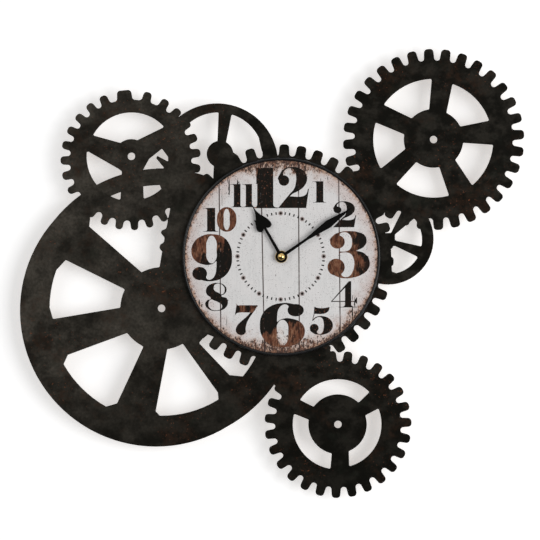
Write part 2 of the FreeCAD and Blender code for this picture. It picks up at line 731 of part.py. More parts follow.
def dial():
    board = piece("dial_board", "Sizes.dial_x", "Places.dial_front_at", "Places.dial_z")
    pad(board, circle(size.dial_radius) + circle(size.bush_radius + size.board_clearance),
        "Sizes.dial_thickness")

    rim = piece("dial_rim", "Sizes.dial_x", "Places.board_front_at", "Places.dial_z")
    inner = size.dial_radius + size.rim_gap
    outer = inner + size.rim_width
    bead = size.rim_width / 2
    shoulder = bead - size.rim_height
    profile = loop([V(inner, shoulder, 0), V(inner, 0, 0), V(outer, 0, 0), V(outer, shoulder, 0)])[:3]
    crown = V(inner + bead, -size.rim_height, 0)
    profile.append(Part.Arc(V(outer, shoulder, 0), crown, V(inner, shoulder, 0)))
    feature = rim.newObject("PartDesign::Revolution", "dial_rim_turn")
    drawing = sketch(rim, "XY_Plane", profile)
    feature.Profile = drawing
    feature.ReferenceAxis = (drawing, ["V_Axis"])
    feature.Angle = FULL_TURN


# Fixings and hands on the hand axis

def mounting():
    washer = piece("brass_washer", "Sizes.dial_x", "Places.washer_front_at", "Places.dial_z")
    turn(washer, ring_profile(size.bush_radius, size.washer_radius, 0, size.washer_thickness))

    nut = piece("mounting_nut", "Sizes.dial_x", "Places.nut_front_at", "Places.dial_z")
    corner = size.nut_across_flats / 2 / math.cos(math.pi / 6)
    hexagon = loop([polar(corner, index * 60) for index in range(6)])
    pad(nut, hexagon + circle(size.bush_radius), "Sizes.nut_thickness")

    bush = piece("threaded_bush", "Sizes.dial_x", "Places.bush_front_at", "Places.dial_z")
    inner_face = place.bush_front_at - place.case_front_at + size.case_wall
    flange_back = inner_face + size.bush_flange_thickness
    turn(bush, [
        (size.bush_bore_radius, 0), (size.bush_radius, 0), (size.bush_radius, inner_face),
        (size.bush_flange_radius, inner_face), (size.bush_flange_radius, flange_back),
        (size.bush_bore_radius, flange_back),
    ])

    seal = piece("rubber_washer", "Sizes.dial_x", "Sizes.stand_off", "Places.dial_z")
    turn(seal, ring_profile(size.bush_radius, size.rubber_washer_radius, 0, size.rubber_washer_thickness))


def turn_hand(body, angle):
    body.Placement = FreeCAD.Placement(body.Placement.Base, FreeCAD.Rotation(V(0, 1, 0), angle))


def hour_tube_radius():
    return size.bush_bore_radius - size.running_fit


def hands():
    hour = piece("hour_hand", "Sizes.dial_x", "Places.hour_hand_front_at", "Places.dial_z")
    stem = size.hand_stem_width / 2
    half = size.hour_spade_width / 2
    length = size.hour_hand_length

    def spade(shares, hand_side):
        return V(hand_side * half * shares[0], length * shares[1], 0)

    def tip_side(hand_side):
        return V(hand_side * size.hour_hand_tip_radius, length - size.hour_hand_tip_radius, 0)

    foot = V(stem * STEM_END_SHARE, length * SPADE_FOOT_SHARE, 0)
    base = V(stem, 0, 0)
    outline = [Part.LineSegment(V(-stem, 0, 0), base), Part.LineSegment(base, foot)]
    outline.append(Part.Arc(foot, spade(SPADE_LOBE_SHARES, 1), spade(SPADE_SHOULDER_SHARES, 1)))
    outline.append(Part.Arc(spade(SPADE_SHOULDER_SHARES, 1), spade(SPADE_CHEEK_SHARES, 1),
                            spade(SPADE_SIDE_SHARES, 1)))
    outline.append(Part.Arc(spade(SPADE_SIDE_SHARES, 1), spade(SPADE_NECK_SHARES, 1), tip_side(1)))
    outline.append(Part.Arc(tip_side(1), V(0, length, 0), tip_side(-1)))
    outline.append(Part.Arc(tip_side(-1), spade(SPADE_NECK_SHARES, -1), spade(SPADE_SIDE_SHARES, -1)))
    outline.append(Part.Arc(spade(SPADE_SIDE_SHARES, -1), spade(SPADE_CHEEK_SHARES, -1),
                            spade(SPADE_SHOULDER_SHARES, -1)))
    left_foot = V(-foot.x, foot.y, 0)
    outline.append(Part.Arc(spade(SPADE_SHOULDER_SHARES, -1), spade(SPADE_LOBE_SHARES, -1), left_foot))
    outline.append(Part.LineSegment(left_foot, V(-stem, 0, 0)))
    pad(hour, outline, "Sizes.hand_thickness")
    pad(hour, circle(size.hand_hub_radius), "Sizes.hand_thickness")
    pocket(hour, circle(hour_tube_radius()), "Sizes.hand_thickness")
    turn_hand(hour, HOUR_HAND_ANGLE)

    minute = piece("minute_hand", "Sizes.dial_x", "Places.minute_hand_front_at", "Places.dial_z")
    length = size.minute_hand_length
    half = size.minute_diamond_width / 2
    right_side = [
        V(stem, 0, 0), V(stem * STEM_END_SHARE, length * DIAMOND_START_SHARE, 0),
        V(half, length * DIAMOND_WIDEST_SHARE, 0),
    ]
    left_side = [V(-point.x, point.y, 0) for point in reversed(right_side)]
    pad(minute, loop(right_side + [V(0, length, 0)] + left_side), "Sizes.hand_thickness")
    pad(minute, circle(size.hand_hub_radius), "Sizes.hand_thickness")
    pocket(minute, circle(size.arbor_tip_radius), "Sizes.hand_thickness")
    turn_hand(minute, MINUTE_HAND_ANGLE)

    cap = piece("cap_nut", "Sizes.dial_x", "Places.minute_hand_front_at", "Places.dial_z")
    depth = size.arbor_tip_length - size.hand_thickness
    dome = loop([
        V(0, -size.cap_height, 0), V(0, -depth, 0), V(size.arbor_tip_radius, -depth, 0),
        V(size.arbor_tip_radius, 0, 0), V(size.cap_radius, 0, 0), V(size.cap_radius, -size.cap_rim_height, 0),
    ])[:5]
    dome_height = size.cap_height - size.cap_rim_height
    dome_radius = (size.cap_radius ** 2 + dome_height ** 2) / (2 * dome_height)
    half_way = size.cap_radius / 2
    middle = V(half_way, dome_radius - size.cap_height - math.sqrt(dome_radius ** 2 - half_way ** 2), 0)
    dome.append(Part.Arc(V(size.cap_radius, -size.cap_rim_height, 0), middle, V(0, -size.cap_height, 0)))
    feature = cap.newObject("PartDesign::Revolution", "cap_nut_turn")
    drawing = sketch(cap, "XY_Plane", dome)
    feature.Profile = drawing
    feature.ReferenceAxis = (drawing, ["V_Axis"])
    feature.Angle = FULL_TURN


# Movement case

def movement_case():
    case = piece("movement_front_case", "Sizes.dial_x", "Places.case_front_at", "Places.dial_z")
    inside = size.case_width / 2 - size.case_wall
    pad(case, rectangle(size.case_width, size.case_width), "Sizes.case_depth - Sizes.cover_thickness")
    bays = box_between(-inside, inside, -size.rib_drop, inside)
    bays += box_between(-inside, inside, -inside, -size.rib_drop - size.rib_thickness)
    pocket(case, bays, "Sizes.case_depth", "Sizes.case_wall")
    pocket(case, circle(size.bush_radius), "Sizes.case_wall")
    pillars = []
    for point in pillar_points():
        pillars += circle(size.pillar_radius, point)
    pad(case, pillars, "Places.case_front_at - Places.bridge_at - Sizes.case_wall", "Sizes.case_wall")
    pad(case, circle(size.motion_post_radius, motion_arbor),
        "Places.case_front_at - Places.bridge_at - Sizes.case_wall - Sizes.layer_gap / 2", "Sizes.case_wall")
    knob_bore = size.knob_pivot_radius + size.pivot_fit
    pad(case, circle(size.boss_radius, knob_arbor) + circle(knob_bore, knob_arbor),
        "Places.case_front_at - Places.hour_wheel_at - Sizes.case_wall + Sizes.motion_face", "Sizes.case_wall")

    cover = piece("rear_cover", "Sizes.dial_x", "Places.cover_at", "Places.dial_z")
    half = size.case_width / 2
    outline = box_between(-half, half, -size.rib_drop - size.rib_thickness / 2, half)
    pad(cover, outline, "Sizes.cover_thickness")
    bosses = []
    for point in (HAND_AXIS, third_arbor, fifth_arbor, rotor_arbor):
        bosses += circle(size.boss_radius, point)
        bosses += circle(size.pivot_radius + size.pivot_fit, point)
    pad(cover, bosses, "Sizes.boss_height", forward=True)
    pocket(cover, circle(size.knob_shaft_radius + size.running_fit, knob_arbor), "Sizes.cover_thickness")


def pillar_points():
    """Where the pillars meet the corners of the bridge."""
    half_width = size.bridge_width / 2 - size.bridge_margin
    half_height = size.bridge_height / 2 - size.bridge_margin
    return [V(sx * half_width, size.bridge_rise + sz * half_height, 0) for sx, sz in SQUARE_CORNERS]


def stator_post_points():
    leg = size.stator_leg_width / 2
    height = size.stator_top - leg
    return [V(size.stator_left + leg, height, 0), V(size.stator_right - leg, height, 0)]


def circuit_post_points():
    x = -size.circuit_left + size.circuit_width / 2
    low = size.circuit_post_inset - size.circuit_bottom
    high = size.circuit_height - size.circuit_bottom - size.circuit_post_inset
    return [V(x, low, 0), V(x, high, 0)]


def gear_bridge():
    bridge = piece("gear_bridge", "Sizes.dial_x", "Places.bridge_at", "Places.dial_z")
    outline = rectangle(size.bridge_width, size.bridge_height, V(0, size.bridge_rise, 0))
    outline += circle(size.arbor_radius + size.running_fit)
    outline += circle(size.knob_shaft_radius + size.running_fit, knob_arbor)
    for point in (third_arbor, fifth_arbor, rotor_arbor):
        outline += circle(size.pivot_radius + size.pivot_fit, point)
    pad(bridge, outline, "Sizes.bridge_thickness")
    posts = []
    for point in stator_post_points():
        posts += circle(size.stator_leg_width / 3, point)
    pad(bridge, posts, "Places.bridge_back_at - Places.stator_at", "Sizes.bridge_thickness")
    posts = []
    for point in circuit_post_points():
        posts += circle(size.circuit_post_radius, point)
    pad(bridge, posts, "Places.bridge_back_at - Places.circuit_at", "Sizes.bridge_thickness")


# Wheels of the movement

def arbor_profile(front_at, start_at, end_at, radius):
    """A plain arbor between two distances from the wall, seen from the front of its piece."""
    return [(0, front_at - start_at), (radius, front_at - start_at), (radius, front_at - end_at),
            (0, front_at - end_at)]


def motion_works():
    cannon_phase = MOTION_BEARING
    motion_phase = meshing_phase(MOTION_WHEEL_TEETH, MOTION_BEARING, CANNON_TEETH, cannon_phase)
    knob_phase = meshing_phase(KNOB_TEETH, KNOB_BEARING, MOTION_WHEEL_TEETH, motion_phase)
    pinion_phase = MOTION_BEARING + FULL_TURN / 2
    hour_phase = meshing_phase(HOUR_TEETH, MOTION_BEARING + FULL_TURN / 2, MOTION_PINION_TEETH, pinion_phase)

    minute = piece("minute_arbor", "Sizes.dial_x", "Places.cannon_at", "Places.dial_z")
    shoulder = place.cannon_at - place.minute_hand_back_at
    tip = shoulder - size.arbor_tip_length
    back = place.cannon_at - place.centre_wheel_at + size.train_face + size.pivot_fit
    bore = size.pivot_radius + size.pivot_fit
    bore_start = back - size.train_face
    turn(minute, [
        (0, tip), (size.arbor_tip_radius, tip), (size.arbor_tip_radius, shoulder), (size.arbor_radius, shoulder),
        (size.arbor_radius, back), (bore, back), (bore, bore_start), (0, bore_start),
    ])
    pad(minute, gear_outline(CANNON_TEETH, size.cannon_module, cannon_phase, PINION_ADDENDUM_SHARE),
        "Sizes.motion_face")

    motion = piece("motion_wheel", "Places.motion_x", "Places.hour_wheel_at", "Places.motion_z")
    bore_outline = circle(size.motion_post_radius + size.running_fit)
    pinion = gear_outline(MOTION_PINION_TEETH, hour_module, pinion_phase, PINION_ADDENDUM_SHARE)
    pad(motion, pinion + bore_outline, "Places.hour_wheel_at - Places.cannon_at")
    wheel = gear_outline(MOTION_WHEEL_TEETH, size.cannon_module, motion_phase, WHEEL_ADDENDUM_SHARE)
    pad(motion, wheel + bore_outline, "Sizes.motion_face", "Places.hour_wheel_at - Places.cannon_at")

    hour = piece("hour_wheel", "Sizes.dial_x", "Places.hour_wheel_at", "Places.dial_z")
    tube_bore = size.arbor_radius + size.running_fit
    tube_front = place.hour_wheel_at - place.hour_hand_front_at
    turn(hour, ring_profile(tube_bore, hour_tube_radius(), tube_front, size.motion_face))
    wheel = gear_outline(HOUR_TEETH, hour_module, hour_phase, WHEEL_ADDENDUM_SHARE)
    pad(hour, wheel + circle(tube_bore), "Sizes.motion_face")

    knob = piece("setting_knob", "Places.knob_x", "Places.cannon_at", "Places.knob_z")
    pivot_front = place.cannon_at - place.case_front_at + size.case_wall + size.knob_gap
    knob_front = place.cannon_at - place.knob_at
    knob_back = knob_front + size.knob_thickness
    turn(knob, [
        (0, pivot_front), (size.knob_pivot_radius, pivot_front), (size.knob_pivot_radius, 0),
        (size.knob_shaft_radius, 0), (size.knob_shaft_radius, knob_front), (size.knob_radius, knob_front),
        (size.knob_radius, knob_back), (0, knob_back),
    ])
    pad(knob, gear_outline(KNOB_TEETH, size.cannon_module, knob_phase, PINION_ADDENDUM_SHARE),
        "Sizes.motion_face")


def going_train():
    centre_phase = THIRD_BEARING
    third_pinion_phase = meshing_phase(THIRD_PINION_TEETH, THIRD_BEARING, CENTRE_TEETH, centre_phase)
    third_phase = THIRD_BEARING + FULL_TURN / 2
    seconds_pinion_phase = meshing_phase(
        SECONDS_PINION_TEETH, THIRD_BEARING + FULL_TURN / 2, THIRD_WHEEL_TEETH, third_phase)
    seconds_phase = FIFTH_BEARING
    fifth_pinion_phase = meshing_phase(FIFTH_PINION_TEETH, FIFTH_BEARING, SECONDS_WHEEL_TEETH, seconds_phase)
    fifth_phase = ROTOR_BEARING
    rotor_phase = meshing_phase(ROTOR_TEETH, ROTOR_BEARING, FIFTH_WHEEL_TEETH, fifth_phase)
    pivot_front_at = place.bridge_at - size.magnet_gap
    pivot_back_at = place.cover_at + size.magnet_gap

    centre = piece("centre_wheel", "Sizes.dial_x", "Places.centre_wheel_at", "Places.dial_z")
    wheel = gear_outline(CENTRE_TEETH, size.train_module, centre_phase, WHEEL_ADDENDUM_SHARE)
    pad(centre, wheel + circle(size.arbor_radius + size.pivot_fit), "Sizes.train_face")

    third = piece("third_wheel", "Places.third_x", "Places.third_wheel_at", "Places.third_z")
    turn(third, arbor_profile(place.third_wheel_at, pivot_front_at, pivot_back_at, size.pivot_radius))
    pad(third, gear_outline(THIRD_WHEEL_TEETH, third_module, third_phase, WHEEL_ADDENDUM_SHARE),
        "Sizes.train_face")
    pad(third, gear_outline(THIRD_PINION_TEETH, size.train_module, third_pinion_phase, PINION_ADDENDUM_SHARE),
        "Places.centre_wheel_at - Places.third_wheel_at", forward=True)

    seconds = piece("seconds_wheel", "Sizes.dial_x", "Places.seconds_wheel_at", "Places.dial_z")
    seconds_front_at = place.centre_wheel_at - size.magnet_gap
    turn(seconds, arbor_profile(place.seconds_wheel_at, seconds_front_at, pivot_back_at, size.pivot_radius))
    pad(seconds, gear_outline(SECONDS_WHEEL_TEETH, size.train_module, seconds_phase, WHEEL_ADDENDUM_SHARE),
        "Sizes.train_face")
    pad(seconds, gear_outline(SECONDS_PINION_TEETH, third_module, seconds_pinion_phase, PINION_ADDENDUM_SHARE),
        "Places.third_wheel_at - Places.seconds_wheel_at", forward=True)

    fifth = piece("fifth_wheel", "Places.fifth_x", "Places.fifth_wheel_at", "Places.fifth_z")
    turn(fifth, arbor_profile(place.fifth_wheel_at, pivot_front_at, pivot_back_at, size.pivot_radius))
    pad(fifth, gear_outline(FIFTH_WHEEL_TEETH, size.train_module, fifth_phase, WHEEL_ADDENDUM_SHARE),
        "Sizes.train_face")
    pad(fifth, gear_outline(FIFTH_PINION_TEETH, size.train_module, fifth_pinion_phase, PINION_ADDENDUM_SHARE),
        "Places.seconds_wheel_at - Places.fifth_wheel_at", forward=True)

    rotor = piece("rotor_pinion", "Places.rotor_x", "Places.fifth_wheel_at", "Places.rotor_z")
    turn(rotor, arbor_profile(place.fifth_wheel_at, pivot_front_at, pivot_back_at, size.pivot_radius))
    pad(rotor, gear_outline(ROTOR_TEETH, size.train_module, rotor_phase, PINION_ADDENDUM_SHARE),
        "Sizes.train_face")

    magnet = piece("rotor_magnet", "Places.rotor_x", "Places.magnet_at", "Places.rotor_z")
    turn(magnet, ring_profile(size.pivot_radius, size.magnet_radius, 0, size.magnet_thickness))


# Motor and electronics

def motor():
    stator = piece("stator_plate", "Sizes.dial_x", "Places.stator_at", "Places.dial_z")
    bore = size.magnet_radius + size.stator_gap
    ring = circle(bore + size.stator_ring, rotor_arbor) + circle(bore, rotor_arbor)
    pad(stator, ring, "Sizes.stator_thickness")
    leg_foot = rotor_arbor.y
    legs = []
    inner_edge = math.sqrt((bore + size.stator_ring) ** 2 - bore ** 2)
    for left in (size.stator_left, size.stator_right - size.stator_leg_width):
        legs += box_between(left, left + size.stator_leg_width, leg_foot + inner_edge, size.stator_top)
    pad(stator, legs, "Sizes.stator_thickness")
    yoke_top = leg_foot + inner_edge + size.stator_leg_width / 2
    yoke_bottom = leg_foot + bore + size.stator_ring / 2
    pad(stator, box_between(size.stator_left, size.stator_right, yoke_bottom, yoke_top), "Sizes.stator_thickness")

    core = doc.addObject("Part::Box", "coil_core")
    core.setExpression("Length", "Sizes.stator_right - Sizes.stator_left")
    core.setExpression("Width", "Sizes.core_thickness")
    core.setExpression("Height", "Sizes.core_height")
    core_bottom = "Places.dial_z + Sizes.stator_top - (Sizes.stator_leg_width + Sizes.core_height) / 2"
    place_piece(core, "Sizes.dial_x + Sizes.stator_left", "Places.core_at", core_bottom)

    coil_pieces()


def coil_pieces():
    """The bobbin is a spool on the flat core, between the stator's legs, and the winding fills it."""
    left = size.stator_left + size.stator_leg_width + size.bobbin_flange
    right = size.stator_right - size.stator_leg_width - size.bobbin_flange
    barrel = size.coil_radius - size.winding_depth
    centre_at = "Places.core_at - Sizes.core_thickness / 2"
    centre_z = "Places.dial_z + Sizes.stator_top - Sizes.stator_leg_width / 2"

    bobbin = piece("coil_bobbin", "Sizes.dial_x", centre_at, centre_z)
    outline = loop([
        V(left, 0, 0), V(left, size.coil_radius, 0), V(left + size.bobbin_flange, size.coil_radius, 0),
        V(left + size.bobbin_flange, barrel, 0), V(right - size.bobbin_flange, barrel, 0),
        V(right - size.bobbin_flange, size.coil_radius, 0), V(right, size.coil_radius, 0), V(right, 0, 0),
    ])
    spool = bobbin.newObject("PartDesign::Revolution", "coil_bobbin_turn")
    drawing = sketch(bobbin, "XY_Plane", outline)
    spool.Profile = drawing
    spool.ReferenceAxis = (drawing, ["H_Axis"])
    spool.Angle = FULL_TURN
    doc.recompute()
    slot = sketch(bobbin, "YZ_Plane", rectangle(size.core_thickness, size.core_height))
    cut = bobbin.newObject("PartDesign::Pocket", "coil_bobbin_slot")
    cut.Profile = slot
    cut.Type = "ThroughAll"
    cut.Midplane = True
    doc.recompute()

    winding = piece("coil_winding", "Sizes.dial_x", centre_at, centre_z)
    outline = loop([
        V(left + size.bobbin_flange, barrel, 0), V(left + size.bobbin_flange, size.coil_radius, 0),
        V(right - size.bobbin_flange, size.coil_radius, 0), V(right - size.bobbin_flange, barrel, 0),
    ])
    wound = winding.newObject("PartDesign::Revolution", "coil_winding_turn")
    drawing = sketch(winding, "XY_Plane", outline)
    wound.Profile = drawing
    wound.ReferenceAxis = (drawing, ["H_Axis"])
    wound.Angle = FULL_TURN
    doc.recompute()


def electronics():
    circuit = doc.addObject("Part::Box", "circuit_board")
    circuit.setExpression("Length", "Sizes.circuit_width")
    circuit.setExpression("Width", "Sizes.circuit_thickness")
    circuit.setExpression("Height", "Sizes.circuit_height")
    place_piece(circuit, "Sizes.dial_x - Sizes.circuit_left", "Places.circuit_at",
                "Places.dial_z - Sizes.circuit_bottom")

    crystal = doc.addObject("Part::Cylinder", "quartz_crystal")
    crystal.setExpression("Radius", "Sizes.crystal_radius")
    crystal.setExpression("Height", "Sizes.crystal_length")
    place_piece(crystal, "Sizes.dial_x - Sizes.circuit_left + Sizes.circuit_width / 3",
                "Places.circuit_at + Sizes.crystal_radius", "Places.dial_z")


def power():
    bay_top = "Places.dial_z - Sizes.rib_drop - Sizes.rib_thickness"
    cell_z = f"{bay_top} - Sizes.cell_radius - Sizes.cell_gap"
    cell_at = "Places.case_front_at - Sizes.case_wall - Sizes.cell_radius - Sizes.cell_gap"

    cell = piece("battery_cell", "Sizes.dial_x", cell_at, cell_z)
    left = -(size.cell_length + size.cell_nub_length) / 2
    shoulder = left + size.cell_length
    tip = shoulder + size.cell_nub_length
    feature = cell.newObject("PartDesign::Revolution", "battery_cell_turn")
    drawing = sketch(cell, "XY_Plane", loop([
        V(left, 0, 0), V(left, size.cell_radius, 0), V(shoulder, size.cell_radius, 0),
        V(shoulder, size.cell_nub_radius, 0), V(tip, size.cell_nub_radius, 0), V(tip, 0, 0),
    ]))
    feature.Profile = drawing
    feature.ReferenceAxis = (drawing, ["H_Axis"])
    feature.Angle = FULL_TURN

    half_cell = "(Sizes.cell_length + Sizes.cell_nub_length) / 2"
    reach = f"(Sizes.case_width / 2 - Sizes.case_wall - {half_cell}"
    for name, near_side in (("contact_negative", "-Sizes.case_width / 2 + Sizes.case_wall"),
                            ("contact_positive", f"{half_cell} + Sizes.cell_gap")):
        contact = doc.addObject("Part::Box", name)
        contact.setExpression("Length", f"{reach} - Sizes.cell_gap)")
        contact.setExpression("Width", "Sizes.contact_width")
        contact.setExpression("Height", "Sizes.contact_height")
        place_piece(contact, f"Sizes.dial_x + {near_side}", f"{cell_at} + Sizes.contact_width / 2",
                    f"{cell_z} - Sizes.contact_height / 2")


# Hanger and spacers

def hanger():
    block = piece("hanger_block", "0 mm", "Sizes.stand_off", "0 mm")
    plate_middle = V(0, (size.keyhole_slot_rise - size.keyhole_radius) * 3 / 4, 0)
    pad(block, rectangle(size.hanger_block_width, size.hanger_block_height, plate_middle),
        "Sizes.stand_off - Sizes.plate_thickness")
    pocket_outline = box_between(
        -size.keyhole_radius * 3 / 2, size.keyhole_radius * 3 / 2,
        -size.keyhole_radius * 3 / 2, size.keyhole_slot_rise + size.keyhole_radius * 3 / 2)
    pocket(block, pocket_outline, "Sizes.stand_off",
           "Sizes.stand_off - Sizes.plate_thickness - Sizes.keyhole_pocket_depth")
    screw_points = [V(side * size.screw_spacing / 2, plate_middle.y, 0) for side in (-1, 1)]
    bores = []
    for point in screw_points:
        bores += circle(size.screw_radius, point)
    pocket(block, bores, "Sizes.stand_off",
           "Sizes.stand_off - Sizes.plate_thickness - Sizes.screw_length")

    plate = piece("hanger_plate", "0 mm", "Sizes.plate_thickness", "0 mm")
    slot = size.keyhole_slot_width / 2
    slot_foot = math.sqrt(size.keyhole_radius ** 2 - slot ** 2)
    top = V(0, size.keyhole_slot_rise + slot, 0)
    keyhole = [
        Part.Arc(V(slot, slot_foot, 0), V(0, -size.keyhole_radius, 0), V(-slot, slot_foot, 0)),
        Part.LineSegment(V(-slot, slot_foot, 0), V(-slot, size.keyhole_slot_rise, 0)),
        Part.Arc(V(-slot, size.keyhole_slot_rise, 0), top, V(slot, size.keyhole_slot_rise, 0)),
        Part.LineSegment(V(slot, size.keyhole_slot_rise, 0), V(slot, slot_foot, 0)),
    ]
    outline = rounded_polygon(
        [V(sx * size.plate_width / 2, plate_middle.y + sz * size.plate_height / 2, 0)
         for sx, sz in SQUARE_CORNERS], size.keyhole_radius)
    for point in screw_points:
        outline += circle(size.screw_radius, point)
    pad(plate, outline + keyhole, "Sizes.plate_thickness")
    sinks = []
    for point in screw_points:
        sinks += circle(size.screw_head_radius, point)
    pocket(plate, sinks, "Sizes.plate_thickness", "Sizes.plate_thickness - Sizes.screw_head_height")

    screws = piece("hanger_screws", "0 mm", "Sizes.plate_thickness + Sizes.screw_length", "0 mm")
    shanks = []
    heads = []
    for point in screw_points:
        shanks += circle(size.screw_radius, point)
        heads += circle(size.screw_head_radius, point)
    pad(screws, shanks, "Sizes.screw_length + Sizes.plate_thickness - Sizes.screw_head_height")
    pad(screws, heads, "Sizes.screw_head_height",
        "Sizes.screw_length + Sizes.plate_thickness - Sizes.screw_head_height")


def spacers():
    bottom_rim = (size.bottom_wheel_root + size.bottom_wheel_tip * BOTTOM_WHEEL_RIM_SHARE) / 2
    places = {
        "left_spacer": (size.left_spacer_x, size.left_spacer_z),
        "right_spacer": (size.bottom_wheel_x, size.bottom_wheel_z - bottom_rim),
    }
    pads = piece("felt_pads", "Sizes.dial_x", "Sizes.pad_thickness", "Places.dial_z")
    pad_width = size.spacer_width - 2 * size.pad_margin
    pad_height = size.spacer_height - 2 * size.pad_margin
    outline = []
    for name, (x, z) in places.items():
        centre = V(x, z, 0)
        block = piece(name, "Sizes.dial_x", "Sizes.stand_off", "Places.dial_z")
        pad(block, rectangle(size.spacer_width, size.spacer_height, centre),
            "Sizes.stand_off - Sizes.pad_thickness")
        outline += rectangle(pad_width, pad_height, centre)
    pad(pads, outline, "Sizes.pad_thickness")


# Build, check and write

gear_board()
dial()
mounting()
hands()
movement_case()
gear_bridge()
motion_works()
going_train()
motor()
electronics()
power()
hanger()
spacers()
doc.recompute()

for item in doc.Objects:
    if {"Invalid", "Error"} & set(item.State):
        raise RuntimeError(f"{item.Label} failed: {item.State}")
os.makedirs("parts", exist_ok=True)
for item in pieces:
    shape = item.Shape
    if shape.isNull() or not shape.isValid():
        raise RuntimeError(f"{item.Label} has no valid shape")
    shape.exportStep(f"parts/{item.Label}.step")
    box = shape.BoundBox
    print(f"{item.Label}: {len(shape.Solids)} solid(s), {shape.Volume:.1f} mm3, y {box.YMin:.2f} to {box.YMax:.2f}")
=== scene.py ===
"""Looks of a gear wall clock: a plank dial on a dark cut board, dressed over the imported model.

Run as a script. Everything is in metres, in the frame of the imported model: the wall is the plane y = 0,
the front looks along -Y, +X is right and +Z is up. The origin is the hanging point.
"""
import math

import bmesh
import bpy
import numpy as np
from bpy.props import FloatProperty, FloatVectorProperty, PointerProperty
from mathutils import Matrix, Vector


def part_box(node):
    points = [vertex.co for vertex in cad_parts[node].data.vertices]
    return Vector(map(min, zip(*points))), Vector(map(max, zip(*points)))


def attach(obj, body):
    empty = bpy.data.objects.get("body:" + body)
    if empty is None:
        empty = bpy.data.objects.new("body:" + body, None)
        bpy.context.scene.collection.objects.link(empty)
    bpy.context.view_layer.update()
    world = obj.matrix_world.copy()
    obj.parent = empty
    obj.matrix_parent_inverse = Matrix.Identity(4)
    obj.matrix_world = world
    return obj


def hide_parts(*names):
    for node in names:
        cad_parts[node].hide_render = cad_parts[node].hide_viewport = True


bl_info = {
    "name": "Gear wall clock",
    "version": (1, 0, 0),
    "blender": (4, 5, 0),
    "location": "View3D > Sidebar > Clock",
    "description": "Builds the looks of a gear wall clock over its packed model",
    "category": "Object",
}

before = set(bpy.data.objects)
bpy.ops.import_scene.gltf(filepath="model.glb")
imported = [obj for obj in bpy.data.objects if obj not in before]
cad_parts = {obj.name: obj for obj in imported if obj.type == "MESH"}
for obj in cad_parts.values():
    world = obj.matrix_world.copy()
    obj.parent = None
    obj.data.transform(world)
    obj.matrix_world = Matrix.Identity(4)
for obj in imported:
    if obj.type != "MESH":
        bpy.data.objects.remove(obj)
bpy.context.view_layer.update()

MM = 0.001
PER_METRE = 1000
TURN = 2 * math.pi

# The photograph's side in pixels, the metres that one pixel spans at the board, and the pixels from the dial's
# centre to the photograph's middle, rightwards and upwards
PHOTO_SIDE = 540
PHOTO_SCALE = 0.00119
PHOTO_MIDDLE = (-11.3, -13.2)

DIAL_LOW, DIAL_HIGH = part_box("dial_board")
DIAL_CENTRE = (DIAL_LOW + DIAL_HIGH) / 2
DIAL_FRONT = DIAL_LOW.y
DIAL_RADIUS = (DIAL_HIGH.x - DIAL_LOW.x) / 2
BOARD_LOW, BOARD_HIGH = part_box("gear_board")

# Steps between printed layers, so that none lies in the plane of another: shapes of a figure, and figures
SHAPE_STEP = 0.000008
FIGURE_STEP = 0.000001
NUMERAL_BOX = 100
CURVE_STEPS = 10
TRACK_LIFT = 1.4
CRACK_LIFT = 1.6

# For the board's rounded edges: how squarely a face looks forward, points that are one, and the sharpest mitre
FRONT_FACING = 0.99
WELD = 1e-6
MITRE_LIMIT = 0.6

RIM_STEPS = 288
RIM_ARC_STEPS = 17
RIM_GAP = 0.0001
KNOB_RIDGES = 24
RIDGE_STEPS = 8
RIDGE_HEIGHT = 0.00016
MINUTES = 60
MINUTES_PER_HOUR_DOT = 5
TRACK_SHIFT = (-0.0008, 0.0005)
DOT_STEPS = 24
HALO_SHARE = 1.75
CRACK_STEPS = 9
CRACK_SEED = 7

WALL_HALF = 4.0
WALL_LEVEL = 0.0004
WALL_GLOW = 0.46
SURROUND = 0.30
SURROUND_BELOW = 0.05
SURROUND_ABOVE = 0.80

# Seams between the dial's planks: place right of the dial's centre in millimetres, and lean
SEAMS = [(-72.9, -0.012), (-22.3, -0.020), (20.9, -0.006), (69.1, -0.010)]

# Outlines of the numerals in a bold face with thin hairlines. Each contour runs in a box as wide and as high as
# NUMERAL_BOX; (x, y) is a smooth point and (x, y, 1) a corner. The first contour of a shape is its outside and
# the others are its holes.
BALL = [(-1, 0), (0, 1), (1, 0), (0, -1)]


def ball(x, y, wide, high):
    """A round terminal: the four points of an ellipse."""
    return [(x + wide * u, y + high * v) for u, v in BALL]


WIDE_ONE = [[[
    (2, 100, 1), (79, 100, 1), (79, 8, 1), (84, 3.5), (100, 1.6, 1), (100, 0, 1), (-10, 0, 1), (-10, 1.6, 1),
    (2, 3.5), (7, 8, 1), (7, 60, 1), (3, 60, 1),
]]]
ONE = [[[
    (0, 99, 1), (79, 100, 1), (79, 8, 1), (84, 3.5), (100, 1.6, 1), (100, 0, 1), (4, 0, 1), (4, 1.6, 1),
    (24, 3.5), (28, 8, 1), (28, 91, 1), (22, 96), (0, 97.4, 1),
]]]
TWO = [
    [[
        (0, 68), (5, 84), (18, 95.5), (38, 100), (68, 97), (88, 86), (94, 71), (86, 55), (68, 43), (45, 34),
        (37, 28.5, 1), (80, 29), (91, 34), (97, 47, 1), (100, 47, 1), (91, 0, 1), (-2, 0, 1), (36, 34), (51, 47),
        (56.5, 61), (57.5, 78), (52, 91), (38, 97.6), (25, 94.5), (16, 87), (14, 76),
    ]],
    [ball(17.4, 67, 17.4, 12.8)],
]
